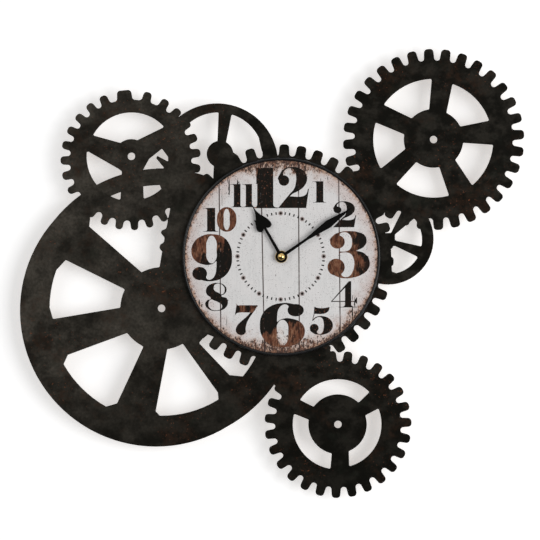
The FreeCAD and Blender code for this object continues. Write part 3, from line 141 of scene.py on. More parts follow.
THREE = [
    [[
        (6, 78), (13, 90), (29, 97.5), (50, 100), (71, 98), (88, 91), (92.5, 79), (86, 67), (68, 58.5, 1),
        (86, 53.5), (96.7, 43), (100, 30), (95, 18), (80, 7.5), (63, 2), (41, 0), (20, 4.5), (4.5, 15.5), (1, 25),
        (20, 24), (32, 13), (34, 6), (42, 2.6), (52, 5), (60, 15.5), (63.4, 29), (62, 41), (55, 51.5), (46, 54.6),
        (27, 53.6, 1), (27, 56.6, 1), (46, 57.6), (54.4, 63), (58, 75), (56, 87), (49, 95), (38, 97.4), (28, 93),
        (27, 85), (20, 78),
    ]],
    [ball(23.5, 77, 17.4, 14.2)],
    [ball(20.4, 23.6, 20.4, 17.9)],
]
FOUR = [
    [[(0, 23, 1), (66, 100, 1), (75, 100, 1), (6, 25.5, 1)]],
    [[(52, 8, 1), (52, 82, 1), (75, 100, 1), (75, 8, 1)]],
    [[(0, 21, 1), (0, 24.5, 1), (96, 24.5, 1), (96, 21, 1)]],
    [[(86, 24, 1), (95, 38, 1), (97, 38, 1), (97, 12, 1), (90, 20, 1)]],
    [[(28, 0, 1), (28, 2, 1), (48, 4), (52, 9, 1), (75, 9, 1), (79, 4), (97, 2, 1), (97, 0, 1)]],
]
FIVE = [
    [[(20, 100, 1), (38, 96), (58, 95.5), (86, 99.5, 1), (83, 88), (70, 78), (52, 74.5), (22, 75, 1)]],
    [[(20, 100, 1), (24, 100, 1), (21.5, 76, 1), (14, 53, 1), (10.5, 49, 1), (18, 76, 1)]],
    [[
        (11, 50, 1), (20, 60), (38, 66.5), (62, 66), (86, 57), (100, 37), (91, 14), (68, 2.5), (44, 0), (15, 6),
        (2, 20), (19, 24), (31, 12), (33, 6), (44, 2.6), (55, 9), (60.5, 25), (60.5, 43), (54, 58.5), (42, 63.5),
        (28, 60), (14, 50, 1),
    ]],
    [ball(19.7, 24, 19, 15)],
]
SEVEN = [
    [[(8, 100, 1), (12, 95), (24, 95), (100, 95, 1), (78, 71.5, 1), (50, 71.8), (24, 71.8), (8, 69), (0, 62, 1)]],
    [[
        (50, 82, 1), (90, 82, 1), (72, 64), (54, 42), (47, 22), (45, 6), (25, 0), (6, 9), (8, 27), (30, 45),
        (50, 58), (68, 72, 1),
    ]],
]
EIGHT = [[
    [
        (60, 100), (86, 91), (94, 75), (84, 60), (72, 54.5), (94, 46), (100, 31), (88, 10), (54, 0), (17, 5.5),
        (1, 24), (9, 38), (25, 44), (8, 59), (5, 78), (22, 94.5),
    ],
    [(38, 84), (43, 94), (60, 97.8), (79, 90.5), (86, 75), (76, 60.5), (57, 66), (41, 74)],
    [(26, 41), (15, 25), (24, 8), (50, 2.2), (71, 9), (73.5, 21), (58, 31), (38, 38)],
]]
NINE = [
    [
        [
            (0, 63.6), (7.5, 84), (28, 97), (50, 100), (78, 94), (95, 76), (100, 51.5), (95, 27), (78, 9), (52, 1),
            (26, 3), (7.5, 11), (3, 17), (20, 17), (38, 17), (36, 9.5), (41, 4.4), (50, 5.5), (58, 14), (61.5, 30),
            (61.8, 43.6, 1), (50, 36.5), (28, 36.3), (7.5, 46),
        ],
        [(37, 66), (39.5, 88), (49.5, 96.6), (60, 88), (62, 66), (60, 46), (49.5, 38.6), (39.5, 46)],
    ],
    [ball(20.5, 17, 18, 14)],
]
# The six is the nine turned half round
SIX = [[[(NUMERAL_BOX - x, NUMERAL_BOX - y, *corner) for x, y, *corner in contour] for contour in shape]
       for shape in NINE]
NOUGHT = [[
    [(0, 50), (14, 86), (50, 100), (86, 86), (100, 50), (86, 14), (50, 0), (14, 14)],
    [(35, 50), (38, 82), (50, 93), (62, 82), (65, 50), (62, 18), (50, 7), (38, 18)],
]]

# Each numeral of the dial: its outline, left, top, right and bottom in millimetres right of the dial's
# centre and above it, and its ink
NUMERALS = [
    ("twelve_one", WIDE_ONE, -30.5, 105.7, -4.0, 57.7, "twelve"),
    ("twelve_two", TWO, -3.1, 106.7, 32.8, 57.9, "black"),
    ("one", ONE, 37.0, 89.8, 53.3, 64.4, "black"),
    ("two", TWO, 62.1, 65.9, 89.0, 35.1, "black"),
    ("three", THREE, 54.9, 30.6, 105.1, -25.6, "three"),
    ("four", FOUR, 59.1, -29.0, 91.0, -60.1, "black"),
    ("five", FIVE, 33.7, -59.5, 61.2, -92.6, "dark"),
    ("six", SIX, -25.5, -54.5, 28.0, -107.3, "six"),
    ("seven_leg", SEVEN[1:], -55.2, -55.7, -27.8, -92.9, "black"),
    ("seven_bar", SEVEN[:1], -55.2, -55.7, -27.8, -92.9, "seven"),
    ("eight", EIGHT, -90.7, -31.2, -63.4, -64.3, "black"),
    ("nine", NINE, -106.9, 26.9, -58.5, -29.5, "nine"),
    ("ten_one", ONE, -93.4, 58.2, -74.7, 29.8, "dark"),
    ("ten_nought", NOUGHT, -76.5, 59.0, -53.3, 29.8, "brown"),
    ("eleven_first", ONE, -60.7, 86.5, -45.3, 58.9, "dark"),
    ("eleven_second", ONE, -46.2, 86.5, -31.9, 58.9, "dark"),
]

# Cracks of the dial's paint: x, top, bottom and width in millimetres from the dial's centre
CRACKS = [
    (-62.0, 93.0, 73.0, 2.3), (-64.0, 94.5, 88.0, 1.2), (-51.9, 91.8, 84.5, 2.0), (-50.2, 90.0, 86.0, 1.0),
    (87.3, -47.5, -62.0, 1.4), (84.6, -45.0, -52.0, 0.8), (84.5, -58.0, -75.0, 1.8), (102.6, 1.0, -5.4, 2.8),
    (46.8, 93.4, 89.0, 0.7), (55.2, 96.0, 90.5, 1.0), (-10.5, 112.5, 104.0, 1.2), (-6.0, 112.0, 103.0, 0.9),
    (9.5, 111.0, 104.5, 0.8), (-24.5, 110.5, 97.0, 1.5), (-36.0, 106.5, 99.0, 1.2), (-97.5, -51.0, -58.0, 2.2),
    (-94.5, -56.0, -60.0, 1.6), (62.5, -90.0, -95.5, 1.3), (-70.5, 78.0, 60.0, 0.6), (-64.8, -70.0, -84.0, 0.6),
]


class ClockSizes(bpy.types.PropertyGroup):
    ink_lift: FloatProperty(
        name="Ink lift", description="How far the printed figures stand in front of the dial",
        default=0.00003, unit="LENGTH")
    track_radius: FloatProperty(
        name="Track radius", description="Radius of the minute track on the dial", default=0.0512, unit="LENGTH")
    dot_radius: FloatProperty(
        name="Dot radius", description="Radius of the hour dots of the track", default=0.0016, unit="LENGTH")
    tick_length: FloatProperty(
        name="Tick length", description="Length of the minute ticks", default=0.0032, unit="LENGTH")
    tick_width: FloatProperty(
        name="Tick width", description="Width of the minute ticks", default=0.0015, unit="LENGTH")
    edge_rounding: FloatProperty(
        name="Edge rounding", description="Rounding of the cut board's edges", default=0.0006, unit="LENGTH")
    camera_distance: FloatProperty(
        name="Camera distance", description="From the camera to the board's front", default=2.6, unit="LENGTH")


class ClockColours(bpy.types.PropertyGroup):
    plank: FloatVectorProperty(
        name="Plank paint", description="Aged white paint of the dial", subtype="COLOR",
        default=(0.735, 0.725, 0.718))
    ink: FloatVectorProperty(
        name="Ink", description="Black of the figures", subtype="COLOR", default=(0.0085, 0.0075, 0.0060))
    brown: FloatVectorProperty(
        name="Bare wood", description="Brown where the figures are worn", subtype="COLOR",
        default=(0.125, 0.047, 0.027))
    rust: FloatVectorProperty(
        name="Rust", description="Stains at the dial's edge", subtype="COLOR", default=(0.215, 0.092, 0.050))
    board: FloatVectorProperty(
        name="Board paint", description="Near-black paint of the cut board", subtype="COLOR",
        default=(0.0022, 0.0021, 0.0012))


# Material helpers

def node(tree, kind, **settings):
    made = tree.nodes.new(kind)
    for name, value in settings.items():
        setattr(made, name, value)
    return made


def feed(tree, value, socket):
    """Links a socket, or sets a plain value."""
    if isinstance(value, bpy.types.NodeSocket):
        tree.links.new(value, socket)
    elif hasattr(socket.default_value, "__len__"):
        value = tuple(value)
        socket.default_value = value + (1,) * (len(socket.default_value) - len(value))
    else:
        socket.default_value = value


def math_node(tree, operation, first, second=0.0, third=None):
    made = node(tree, "ShaderNodeMath", operation=operation)
    feed(tree, first, made.inputs[0])
    feed(tree, second, made.inputs[1])
    if third is not None:
        feed(tree, third, made.inputs[2])
    return made.outputs[0]


def ramp(tree, value, low, high, start=0.0, end=1.0):
    """A smooth step of a value between low and high."""
    made = node(tree, "ShaderNodeMapRange", interpolation_type="SMOOTHSTEP")
    for socket, setting in zip(made.inputs, (value, low, high, start, end)):
        feed(tree, setting, socket)
    return made.outputs[0]


def mix(tree, mask, first, second, blend="MIX"):
    made = node(tree, "ShaderNodeMix", data_type="RGBA", blend_type=blend)
    feed(tree, mask, made.inputs[0])
    feed(tree, first, made.inputs[6])
    feed(tree, second, made.inputs[7])
    return made.outputs[2]


def stain(tree, mask, strength, under, over):
    """One colour over another where the mask lets it through, at most at the strength."""
    return mix(tree, math_node(tree, "MULTIPLY", mask, strength), under, over)


def strongest(tree, mask, *others):
    for other in others:
        mask = math_node(tree, "MAXIMUM", mask, other)
    return mask


def split(tree, vector):
    """The X, Y and Z of a vector."""
    parts = node(tree, "ShaderNodeSeparateXYZ")
    tree.links.new(vector, parts.inputs[0])
    return parts.outputs


def new_group(name, inputs, outputs):
    """A shader node group with typed sockets, and its input and output nodes."""
    tree = bpy.data.node_groups.new(name, "ShaderNodeTree")
    for label, kind, default in inputs:
        socket = tree.interface.new_socket(label, in_out="INPUT", socket_type=kind)
        if default is not None:
            socket.default_value = default
    for label, kind in outputs:
        tree.interface.new_socket(label, in_out="OUTPUT", socket_type=kind)
    return tree, tree.nodes.new("NodeGroupInput"), tree.nodes.new("NodeGroupOutput")


def cloud_group():
    """Soft cloudy mask: noise on the stretched vector, cut between two levels."""
    tree, given, out = new_group("cloud", [
        ("Vector", "NodeSocketVector", None), ("Stretch", "NodeSocketVector", (1, 1, 1)),
        ("Scale", "NodeSocketFloat", 1.0), ("Detail", "NodeSocketFloat", 4.0),
        ("Low", "NodeSocketFloat", 0.4), ("High", "NodeSocketFloat", 0.6),
    ], [("Mask", "NodeSocketFloat")])
    stretched = node(tree, "ShaderNodeVectorMath", operation="MULTIPLY")
    tree.links.new(given.outputs["Vector"], stretched.inputs[0])
    tree.links.new(given.outputs["Stretch"], stretched.inputs[1])
    noise = node(tree, "ShaderNodeTexNoise")
    noise.inputs["Roughness"].default_value = 0.6
    tree.links.new(stretched.outputs[0], noise.inputs["Vector"])
    tree.links.new(given.outputs["Scale"], noise.inputs["Scale"])
    tree.links.new(given.outputs["Detail"], noise.inputs["Detail"])
    mask = ramp(tree, noise.outputs[0], given.outputs["Low"], given.outputs["High"])
    tree.links.new(mask, out.inputs["Mask"])


def cloud(tree, vector, scale, low, high, detail=4.0, stretch=(1, 1, 1)):
    made = node(tree, "ShaderNodeGroup", node_tree=bpy.data.node_groups["cloud"])
    tree.links.new(vector, made.inputs["Vector"])
    for label, value in (("Stretch", stretch), ("Scale", scale), ("Detail", detail), ("Low", low), ("High", high)):
        made.inputs[label].default_value = value
    return made.outputs["Mask"]


def plank_group(colours):
    """Aged white planks of the dial: seams, grain, specks, and stains towards the edge. Places and radii are in
    millimetres from the dial's centre."""
    tree, given, out = new_group("planks", [("Vector", "NodeSocketVector", None)],
                                 [("Color", "NodeSocketColor"), ("Wear", "NodeSocketFloat")])
    vector = given.outputs["Vector"]
    parts = split(tree, vector)
    x, z = parts["X"], parts["Z"]
    flat = node(tree, "ShaderNodeCombineXYZ")
    tree.links.new(x, flat.inputs["X"])
    tree.links.new(z, flat.inputs["Z"])
    length = node(tree, "ShaderNodeVectorMath", operation="LENGTH")
    tree.links.new(flat.outputs[0], length.inputs[0])
    radius = length.outputs["Value"]

    streaks = cloud(tree, vector, 0.35, 0.35, 0.7, 5.0, (1.6, 1, 0.12))
    blotches = cloud(tree, vector, 0.045, 0.35, 0.65, 3.0)
    colour = stain(tree, streaks, 0.5, colours.plank, tuple(c * 0.86 for c in colours.plank))
    colour = stain(tree, blotches, 0.45, colour, (0.78, 0.75, 0.74))

    rim_noise = cloud(tree, vector, 0.10, 0.3, 0.72, 6.0)
    fine_noise = cloud(tree, vector, 0.35, 0.3, 0.7, 8.0)
    near_rim = ramp(tree, math_node(tree, "MULTIPLY_ADD", rim_noise, 12.0, radius), 93, 123)
    colour = stain(tree, near_rim, 0.8, colour, (0.58, 0.47, 0.44))

    tan_edge = ramp(tree, math_node(tree, "MULTIPLY_ADD", fine_noise, 4.0, radius), 111.5, 117.0)
    colour = stain(tree, tan_edge, 0.8, colour, (0.42, 0.225, 0.125))

    # Heavy wear at the top, the foot and both lower sides
    wavy = math_node(tree, "MULTIPLY", rim_noise, 15.0)
    top = ramp(tree, math_node(tree, "ADD", z, wavy), 99, 119)
    low_side = ramp(tree, math_node(tree, "SUBTRACT", wavy, z), 93, 116)
    right_low = ramp(tree, math_node(tree, "ADD", math_node(tree, "SUBTRACT", x, z), wavy), 148, 172)
    left_low = ramp(tree, math_node(tree, "SUBTRACT", wavy, math_node(tree, "ADD", x, z)), 154, 176, 0.0, 0.8)
    heavy = strongest(tree, top, low_side, right_low, left_low)
    colour = stain(tree, heavy, 0.62, colour, (0.50, 0.31, 0.20))
    tinge = cloud(tree, vector, 0.22, 0.30, 0.70, 10.0, (1.4, 1, 0.55))
    rusty = ramp(tree, math_node(tree, "MULTIPLY_ADD", heavy, 0.85, tinge), 1.00, 1.45)
    colour = stain(tree, rusty, 0.88, colour, colours.rust)
    char = cloud(tree, vector, 0.42, 0.32, 0.68, 10.0, (1.3, 1, 0.60))
    dark = ramp(tree, math_node(tree, "MULTIPLY_ADD", heavy, 0.66, char), 1.05, 1.18)
    colour = stain(tree, dark, 0.92, colour, (0.026, 0.011, 0.008))

    # A thin broken fringe all round, then specks and scrapes
    edge = ramp(tree, radius, 107, 118)
    fringe_noise = cloud(tree, vector, 0.40, 0.30, 0.70, 8.0)
    fringe = ramp(tree, math_node(tree, "MULTIPLY_ADD", edge, 0.70, fringe_noise), 1.12, 1.32)
    colour = stain(tree, fringe, 0.85, colour, (0.11, 0.045, 0.027))

    brink = ramp(tree, math_node(tree, "MULTIPLY_ADD", cloud(tree, vector, 0.3, 0.45, 0.70, 8.0), 6.0, radius),
                 114.3, 117.0)
    colour = stain(tree, brink, 0.9, colour, (0.050, 0.022, 0.015))

    zone = strongest(tree, heavy, math_node(tree, "MULTIPLY", near_rim, 0.45))
    grit = node(tree, "ShaderNodeTexNoise")
    grit.inputs["Scale"].default_value = 0.85
    grit.inputs["Detail"].default_value = 3.0
    tree.links.new(vector, grit.inputs["Vector"])
    spatter = ramp(tree, math_node(tree, "MULTIPLY_ADD", zone, 0.13, grit.outputs[0]), 0.675, 0.700)
    colour = stain(tree, spatter, 0.9, colour, (0.045, 0.021, 0.015))

    speck_area = cloud(tree, vector, 0.06, 0.40, 0.60, 3.0)
    specks = cloud(tree, vector, 1.15, 0.625, 0.69, 2.0)
    speckled = math_node(tree, "MULTIPLY", specks, math_node(tree, "MULTIPLY_ADD", speck_area, 0.6, 0.15))
    colour = mix(tree, speckled, colour, (0.10, 0.08, 0.07))
    scrapes = cloud(tree, vector, 0.6, 0.68, 0.74, 4.0, (2.0, 1, 0.22))
    colour = stain(tree, scrapes, 0.8, colour, (0.12, 0.075, 0.06))

    lines = []
    for place, slope in SEAMS:
        wander = math_node(tree, "MULTIPLY_ADD", z, -slope, x)
        away = math_node(tree, "ABSOLUTE", math_node(tree, "SUBTRACT", wander, place))
        lines.append(ramp(tree, away, 0.35, 0.95, 1.0, 0.0))
    broken = cloud(tree, vector, 0.10, 0.25, 0.50, 4.0, (0.2, 1, 1))
    seam_mask = math_node(tree, "MULTIPLY", strongest(tree, *lines),
                          math_node(tree, "MULTIPLY_ADD", broken, 0.4, 0.62))
    colour = mix(tree, seam_mask, colour, (0.040, 0.020, 0.016))
    tree.links.new(colour, out.inputs["Color"])
    tree.links.new(strongest(tree, seam_mask, rusty, dark), out.inputs["Wear"])


def ink_group(colours):
    """Worn ink: black that passes into bare brown wood across a soft slanted border, with chips."""
    tree, given, out = new_group("worn_ink", [
        ("Vector", "NodeSocketVector", None), ("Slope", "NodeSocketVector", (0, 0, 0)),
        ("Offset", "NodeSocketFloat", -1.0), ("Flecks", "NodeSocketFloat", 0.66),
    ], [("Color", "NodeSocketColor"), ("Brown", "NodeSocketFloat")])
    vector = given.outputs["Vector"]
    dot = node(tree, "ShaderNodeVectorMath", operation="DOT_PRODUCT")
    tree.links.new(vector, dot.inputs[0])
    tree.links.new(given.outputs["Slope"], dot.inputs[1])
    ragged = cloud(tree, vector, 0.12, 0.2, 0.8, 8.0, (1.4, 1, 0.6))
    side = math_node(tree, "ADD", math_node(tree, "ADD", dot.outputs["Value"], given.outputs["Offset"]),
                     math_node(tree, "MULTIPLY_ADD", ragged, 1.6, -0.8))
    brown_mask = ramp(tree, side, -0.25, 0.25)

    grain = cloud(tree, vector, 0.55, 0.32, 0.66, 8.0, (2.2, 1, 0.22))
    wood = mix(tree, grain, tuple(c * 0.45 for c in colours.brown), tuple(c * 1.45 for c in colours.brown))
    pale = math_node(tree, "MULTIPLY", cloud(tree, vector, 0.10, 0.36, 0.60, 5.0),
                     cloud(tree, vector, 0.5, 0.40, 0.66, 8.0, (1.8, 1, 0.35)))
    wood = stain(tree, pale, 0.85, wood, (0.33, 0.170, 0.100))
    burnt = cloud(tree, vector, 0.22, 0.50, 0.60, 8.0, (1.8, 1, 0.45))
    wood = stain(tree, burnt, 0.8, wood, (0.026, 0.013, 0.010))
    scratch = cloud(tree, vector, 0.8, 0.60, 0.68, 5.0, (2.4, 1, 0.2))
    wood = stain(tree, scratch, 0.7, wood, (0.022, 0.012, 0.009))

    tint = cloud(tree, vector, 0.20, 0.48, 0.70, 6.0, (1.6, 1, 0.45))
    black = stain(tree, tint, 0.45, colours.ink, (0.036, 0.016, 0.011))
    flakes = node(tree, "ShaderNodeTexNoise")
    flakes.inputs["Scale"].default_value = 0.55
    flakes.inputs["Detail"].default_value = 6.0
    stretched = node(tree, "ShaderNodeVectorMath", operation="MULTIPLY")
    stretched.inputs[1].default_value = (1.3, 1, 0.7)
    tree.links.new(vector, stretched.inputs[0])
    tree.links.new(stretched.outputs[0], flakes.inputs["Vector"])
    above = math_node(tree, "SUBTRACT", flakes.outputs[0], given.outputs["Flecks"])
    fleck_mask = ramp(tree, above, 0.0, 0.05)
    black = stain(tree, fleck_mask, 0.9, black, (0.25, 0.105, 0.062))
    tree.links.new(mix(tree, brown_mask, black, wood), out.inputs["Color"])
    tree.links.new(brown_mask, out.inputs["Brown"])


def new_material(name, roughness=0.5, metallic=0.0, specular=0.5):
    """Makes a material, and gives its tree, its Principled shader and its Object coordinates.

    Its name starts with clock_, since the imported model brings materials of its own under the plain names.
    """
    material = bpy.data.materials.new(f"clock_{name}")
    material.use_nodes = True
    tree = material.node_tree
    shader = tree.nodes["Principled BSDF"]
    shader.inputs["Roughness"].default_value = roughness
    shader.inputs["Metallic"].default_value = metallic
    shader.inputs["Specular IOR Level"].default_value = specular
    coordinates = node(tree, "ShaderNodeTexCoord").outputs["Object"]
    return tree, shader, coordinates


def millimetres(tree, coordinates, centre=(0, 0, 0)):
    """Object coordinates in millimetres from a centre given in metres."""
    mapping = node(tree, "ShaderNodeMapping")
    mapping.inputs["Scale"].default_value = (PER_METRE, PER_METRE, PER_METRE)
    mapping.inputs["Location"].default_value = [-PER_METRE * value for value in centre]
    tree.links.new(coordinates, mapping.inputs["Vector"])
    return mapping.outputs[0]


def bump(tree, shader, height, strength, distance):
    made = node(tree, "ShaderNodeBump")
    made.inputs["Strength"].default_value = strength
    made.inputs["Distance"].default_value = distance
    tree.links.new(height, made.inputs["Height"])
    tree.links.new(made.outputs[0], shader.inputs["Normal"])


def rough_between(tree, shader, mask, low, high):
    tree.links.new(ramp(tree, mask, 0, 1, low, high), shader.inputs["Roughness"])


def board_paint(colours):
    """Near-black paint with a painted sheen that lightens it towards the left, darker towards the bottom, with
    reddish and greenish clouds and rust; bare board behind. Places are in millimetres from the hanging point."""
    tree, shader, coordinates = new_material("board_paint", specular=0.04)
    mm = millimetres(tree, coordinates)
    parts = split(tree, mm)
    clouds = cloud(tree, mm, 0.020, 0.38, 0.62, 6.0)
    mottle = cloud(tree, mm, 0.045, 0.42, 0.62, 10.0, (1.0, 1, 1.3))
    fine = cloud(tree, mm, 0.30, 0.30, 0.72, 8.0)
    # Painted sheen: the paint lightens towards the left, broken by clouds, over the real mottle; the whole is
    # darker towards the bottom
    sheen_leftward = ramp(tree, parts["X"], -300, 60, 1.0, 0.0)
    painted_sheen = math_node(tree, "MULTIPLY", sheen_leftward, math_node(tree, "MULTIPLY_ADD", clouds, 0.62, 0.16))
    mottle_with_sheen = math_node(tree, "ADD", painted_sheen, math_node(tree, "MULTIPLY_ADD", mottle, 0.26, 0.05))
    mottle_with_sheen = math_node(tree, "MULTIPLY", mottle_with_sheen, math_node(tree, "MULTIPLY_ADD", fine, 0.55, 0.72))
    mottle_with_sheen = math_node(tree, "MULTIPLY", mottle_with_sheen, ramp(tree, parts["Z"], -345, -170, 0.50, 1.0))
    colour = mix(tree, mottle_with_sheen, colours.board, (0.060, 0.053, 0.043))

    red = math_node(tree, "MULTIPLY", cloud(tree, mm, 0.026, 0.50, 0.66, 6.0),
                    cloud(tree, mm, 0.15, 0.35, 0.65, 8.0))
    colour = stain(tree, red, 0.75, colour, (0.026, 0.0135, 0.0080))
    green = cloud(tree, mm, 0.035, 0.54, 0.70, 5.0, (1, 1, 1.3))
    colour = stain(tree, green, 0.35, colour, (0.0150, 0.0170, 0.0125))

    flecks = cloud(tree, mm, 0.36, 0.62, 0.70, 6.0, (1.0, 1, 1.2))
    areas = cloud(tree, mm, 0.014, 0.46, 0.60, 4.0)
    rust = math_node(tree, "MULTIPLY", flecks, areas)
    colour = stain(tree, rust, 0.85, colour, (0.16, 0.055, 0.026))
    dust = cloud(tree, mm, 0.9, 0.70, 0.75, 3.0)
    colour = stain(tree, dust, 0.30, colour, (0.11, 0.085, 0.065))

    behind = BOARD_HIGH.y / MM
    back = ramp(tree, parts["Y"], behind - 0.35, behind - 0.05)
    fibres = cloud(tree, mm, 0.8, 0.3, 0.7, 8.0, (1, 1, 0.5))
    bare = mix(tree, fibres, (0.20, 0.125, 0.070), (0.30, 0.20, 0.12))
    tree.links.new(mix(tree, back, colour, bare), shader.inputs["Base Color"])
    rough_between(tree, shader, fine, 0.45, 0.68)
    bump(tree, shader, cloud(tree, mm, 0.6, 0.2, 0.8, 6.0), 0.30, 0.0003)


def dial_paint():
    """The planks, rougher where they are worn, with a fine grain."""
    tree, shader, coordinates = new_material("dial_planks", 0.55, specular=0.35)
    mm = millimetres(tree, coordinates, DIAL_CENTRE)
    planks = node(tree, "ShaderNodeGroup", node_tree=bpy.data.node_groups["planks"])
    tree.links.new(mm, planks.inputs["Vector"])
    tree.links.new(planks.outputs["Color"], shader.inputs["Base Color"])
    rough_between(tree, shader, planks.outputs["Wear"], 0.42, 0.72)
    bump(tree, shader, cloud(tree, mm, 0.8, 0.2, 0.8, 5.0, (1.5, 1, 0.3)), 0.15, 0.0002)


def ink_paint(name, slope, offset, flecks):
    """Ink over the planks: a few chips of the ink show the planks below."""
    tree, shader, coordinates = new_material(name, 0.6, specular=0.06)
    mm = millimetres(tree, coordinates, DIAL_CENTRE)
    planks = node(tree, "ShaderNodeGroup", node_tree=bpy.data.node_groups["planks"])
    ink = node(tree, "ShaderNodeGroup", node_tree=bpy.data.node_groups["worn_ink"])
    tree.links.new(mm, planks.inputs["Vector"])
    tree.links.new(mm, ink.inputs["Vector"])
    ink.inputs["Slope"].default_value = slope
    ink.inputs["Offset"].default_value = offset
    ink.inputs["Flecks"].default_value = flecks
    chips = cloud(tree, mm, 0.5, 0.56, 0.62, 6.0, (1.2, 1, 0.6))
    chipped = math_node(tree, "MULTIPLY", planks.outputs["Wear"], chips)
    tree.links.new(stain(tree, chipped, 0.8, ink.outputs["Color"], planks.outputs["Color"]),
                   shader.inputs["Base Color"])
    rough_between(tree, shader, ink.outputs["Brown"], 0.55, 0.75)


def plain_paint(name, base, other, roughness, metallic=0.0, scale=0.8, stretch=(1, 1, 1), strength=0.15,
                spread=0.10, specular=0.5, coat=0.0, deep=0.0002):
    """Moulded plastic, metal, rubber, felt or raw wood: two shades in a cloud, with a fine relief."""
    tree, shader, coordinates = new_material(name, roughness, metallic, specular)
    mm = millimetres(tree, coordinates)
    shades = cloud(tree, mm, scale, 0.30, 0.70, 6.0, stretch)
    tree.links.new(mix(tree, shades, base, other), shader.inputs["Base Color"])
    rough_between(tree, shader, shades, max(0.03, roughness - spread), min(1, roughness + spread))
    shader.inputs["Coat Weight"].default_value = coat
    shader.inputs["Coat Roughness"].default_value = 0.08
    bump(tree, shader, cloud(tree, mm, scale * 2.2, 0.2, 0.8, 6.0, stretch), strength, deep)


def make_materials():
    colours = bpy.context.scene.clock_colours
    cloud_group()
    plank_group(colours)
    ink_group(colours)
    board_paint(colours)
    dial_paint()
    ink_paint("ink_black", (0, 0, 0), -3.0, 0.66)
    ink_paint("ink_twelve", (-0.45, 0, 0), -13.2, 0.625)
    ink_paint("ink_dark", (0, 0, 0), -0.62, 0.62)
    ink_paint("ink_brown", (0, 0, 0), 3.0, 0.66)
    ink_paint("ink_nine", (-0.05, 0, 0.06), -4.40, 0.66)
    ink_paint("ink_seven", (0, 0, 0), 0.1, 0.66)
    ink_paint("ink_three", (-0.055, 0, -0.012), 5.0, 0.66)
    ink_paint("ink_six", (0.055, 0, -0.13), -10.9, 0.66)
    plain_paint("dot_halo", (0.30, 0.24, 0.225), (0.42, 0.36, 0.345), 0.6, scale=0.9)
    plain_paint("rim_black", (0.007, 0.007, 0.0072), (0.011, 0.011, 0.011), 0.24, scale=0.25, strength=0.05,
                spread=0.05, specular=0.22, coat=0.07)
    plain_paint("hand_black", (0.0020, 0.0020, 0.0017), (0.0042, 0.0040, 0.0036), 0.55, scale=0.5, strength=0.08,
                specular=0.04)
    plain_paint("nut_black", (0.010, 0.009, 0.008), (0.02, 0.017, 0.012), 0.35, scale=0.8, metallic=0.6)
    plain_paint("brass", (0.80, 0.57, 0.24), (0.60, 0.40, 0.15), 0.14, metallic=1.0, scale=1.2, strength=0.04,
                spread=0.05)
    plain_paint("rubber", (0.018, 0.018, 0.018), (0.03, 0.03, 0.03), 0.8, scale=1.5)
    plain_paint("case_plastic", (0.016, 0.016, 0.017), (0.024, 0.024, 0.025), 0.5, scale=3.0, strength=0.3,
                deep=0.0001)
    plain_paint("white_plastic", (0.74, 0.74, 0.71), (0.66, 0.66, 0.63), 0.4, scale=1.0, strength=0.08)
    plain_paint("magnet_black", (0.045, 0.045, 0.05), (0.08, 0.08, 0.085), 0.6, scale=2.0)
    plain_paint("steel", (0.55, 0.55, 0.56), (0.42, 0.42, 0.44), 0.32, metallic=1.0, scale=0.6,
                stretch=(0.2, 1, 3.0), strength=0.12)
    plain_paint("copper_wire", (0.62, 0.27, 0.13), (0.42, 0.16, 0.07), 0.3, metallic=1.0, scale=1.0,
                stretch=(7.0, 0.2, 0.2), strength=0.7)
    plain_paint("circuit_resin", (0.22, 0.13, 0.05), (0.30, 0.19, 0.08), 0.5, scale=1.0)
    plain_paint("raw_wood", (0.36, 0.22, 0.11), (0.52, 0.36, 0.20), 0.65, scale=0.35, stretch=(0.12, 1.0, 2.4),
                strength=0.4)
    plain_paint("felt", (0.03, 0.03, 0.032), (0.06, 0.06, 0.065), 0.95, scale=4.0, strength=0.8)
    cell_paint()


def cell_paint():
    """The cell's wrap: bare steel at both ends, a dark sleeve and a copper-coloured band, by millimetres along
    the cell."""
    tree, shader, coordinates = new_material("cell_wrap", 0.35)
    mm = millimetres(tree, coordinates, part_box("battery_cell")[0])
    x = split(tree, mm)["X"]
    scratches = cloud(tree, mm, 0.7, 0.3, 0.7, 6.0, (0.3, 1, 2.0))
    sleeve = mix(tree, scratches, (0.018, 0.018, 0.020), (0.035, 0.035, 0.038))
    band = mix(tree, ramp(tree, x, 36.9, 37.1), sleeve, (0.42, 0.17, 0.055))
    first = ramp(tree, x, 0.8, 1.0, 1.0, 0.0)
    last = ramp(tree, x, 48.0, 48.2)
    ends = math_node(tree, "MAXIMUM", first, last)
    tree.links.new(mix(tree, ends, band, (0.60, 0.60, 0.61)), shader.inputs["Base Color"])
    tree.links.new(ends, shader.inputs["Metallic"])
    bump(tree, shader, scratches, 0.1, 0.0001)


NODE_MATERIALS = {
    "gear_board": "board_paint", "dial_board": "dial_planks", "dial_rim": "rim_black", "brass_washer": "brass",
    "mounting_nut": "nut_black", "threaded_bush": "brass", "rubber_washer": "rubber", "hour_hand": "hand_black",
    "minute_hand": "hand_black", "cap_nut": "brass", "movement_front_case": "case_plastic",
    "rear_cover": "case_plastic", "gear_bridge": "white_plastic", "minute_arbor": "brass",
    "motion_wheel": "white_plastic", "hour_wheel": "white_plastic", "setting_knob": "white_plastic",
    "centre_wheel": "white_plastic", "third_wheel": "white_plastic", "seconds_wheel": "white_plastic",
    "fifth_wheel": "white_plastic", "rotor_pinion": "white_plastic", "rotor_magnet": "magnet_black",
    "stator_plate": "steel", "coil_core": "steel", "coil_bobbin": "white_plastic", "coil_winding": "copper_wire",
    "circuit_board": "circuit_resin", "quartz_crystal": "steel", "battery_cell": "cell_wrap",
    "contact_negative": "steel", "contact_positive": "steel", "hanger_block": "raw_wood",
    "hanger_plate": "steel", "hanger_screws": "steel", "felt_pads": "felt", "left_spacer": "raw_wood",
    "right_spacer": "raw_wood",
}


def give(piece, name):
    piece.data.materials.clear()
    piece.data.materials.append(bpy.data.materials[f"clock_{name}"])


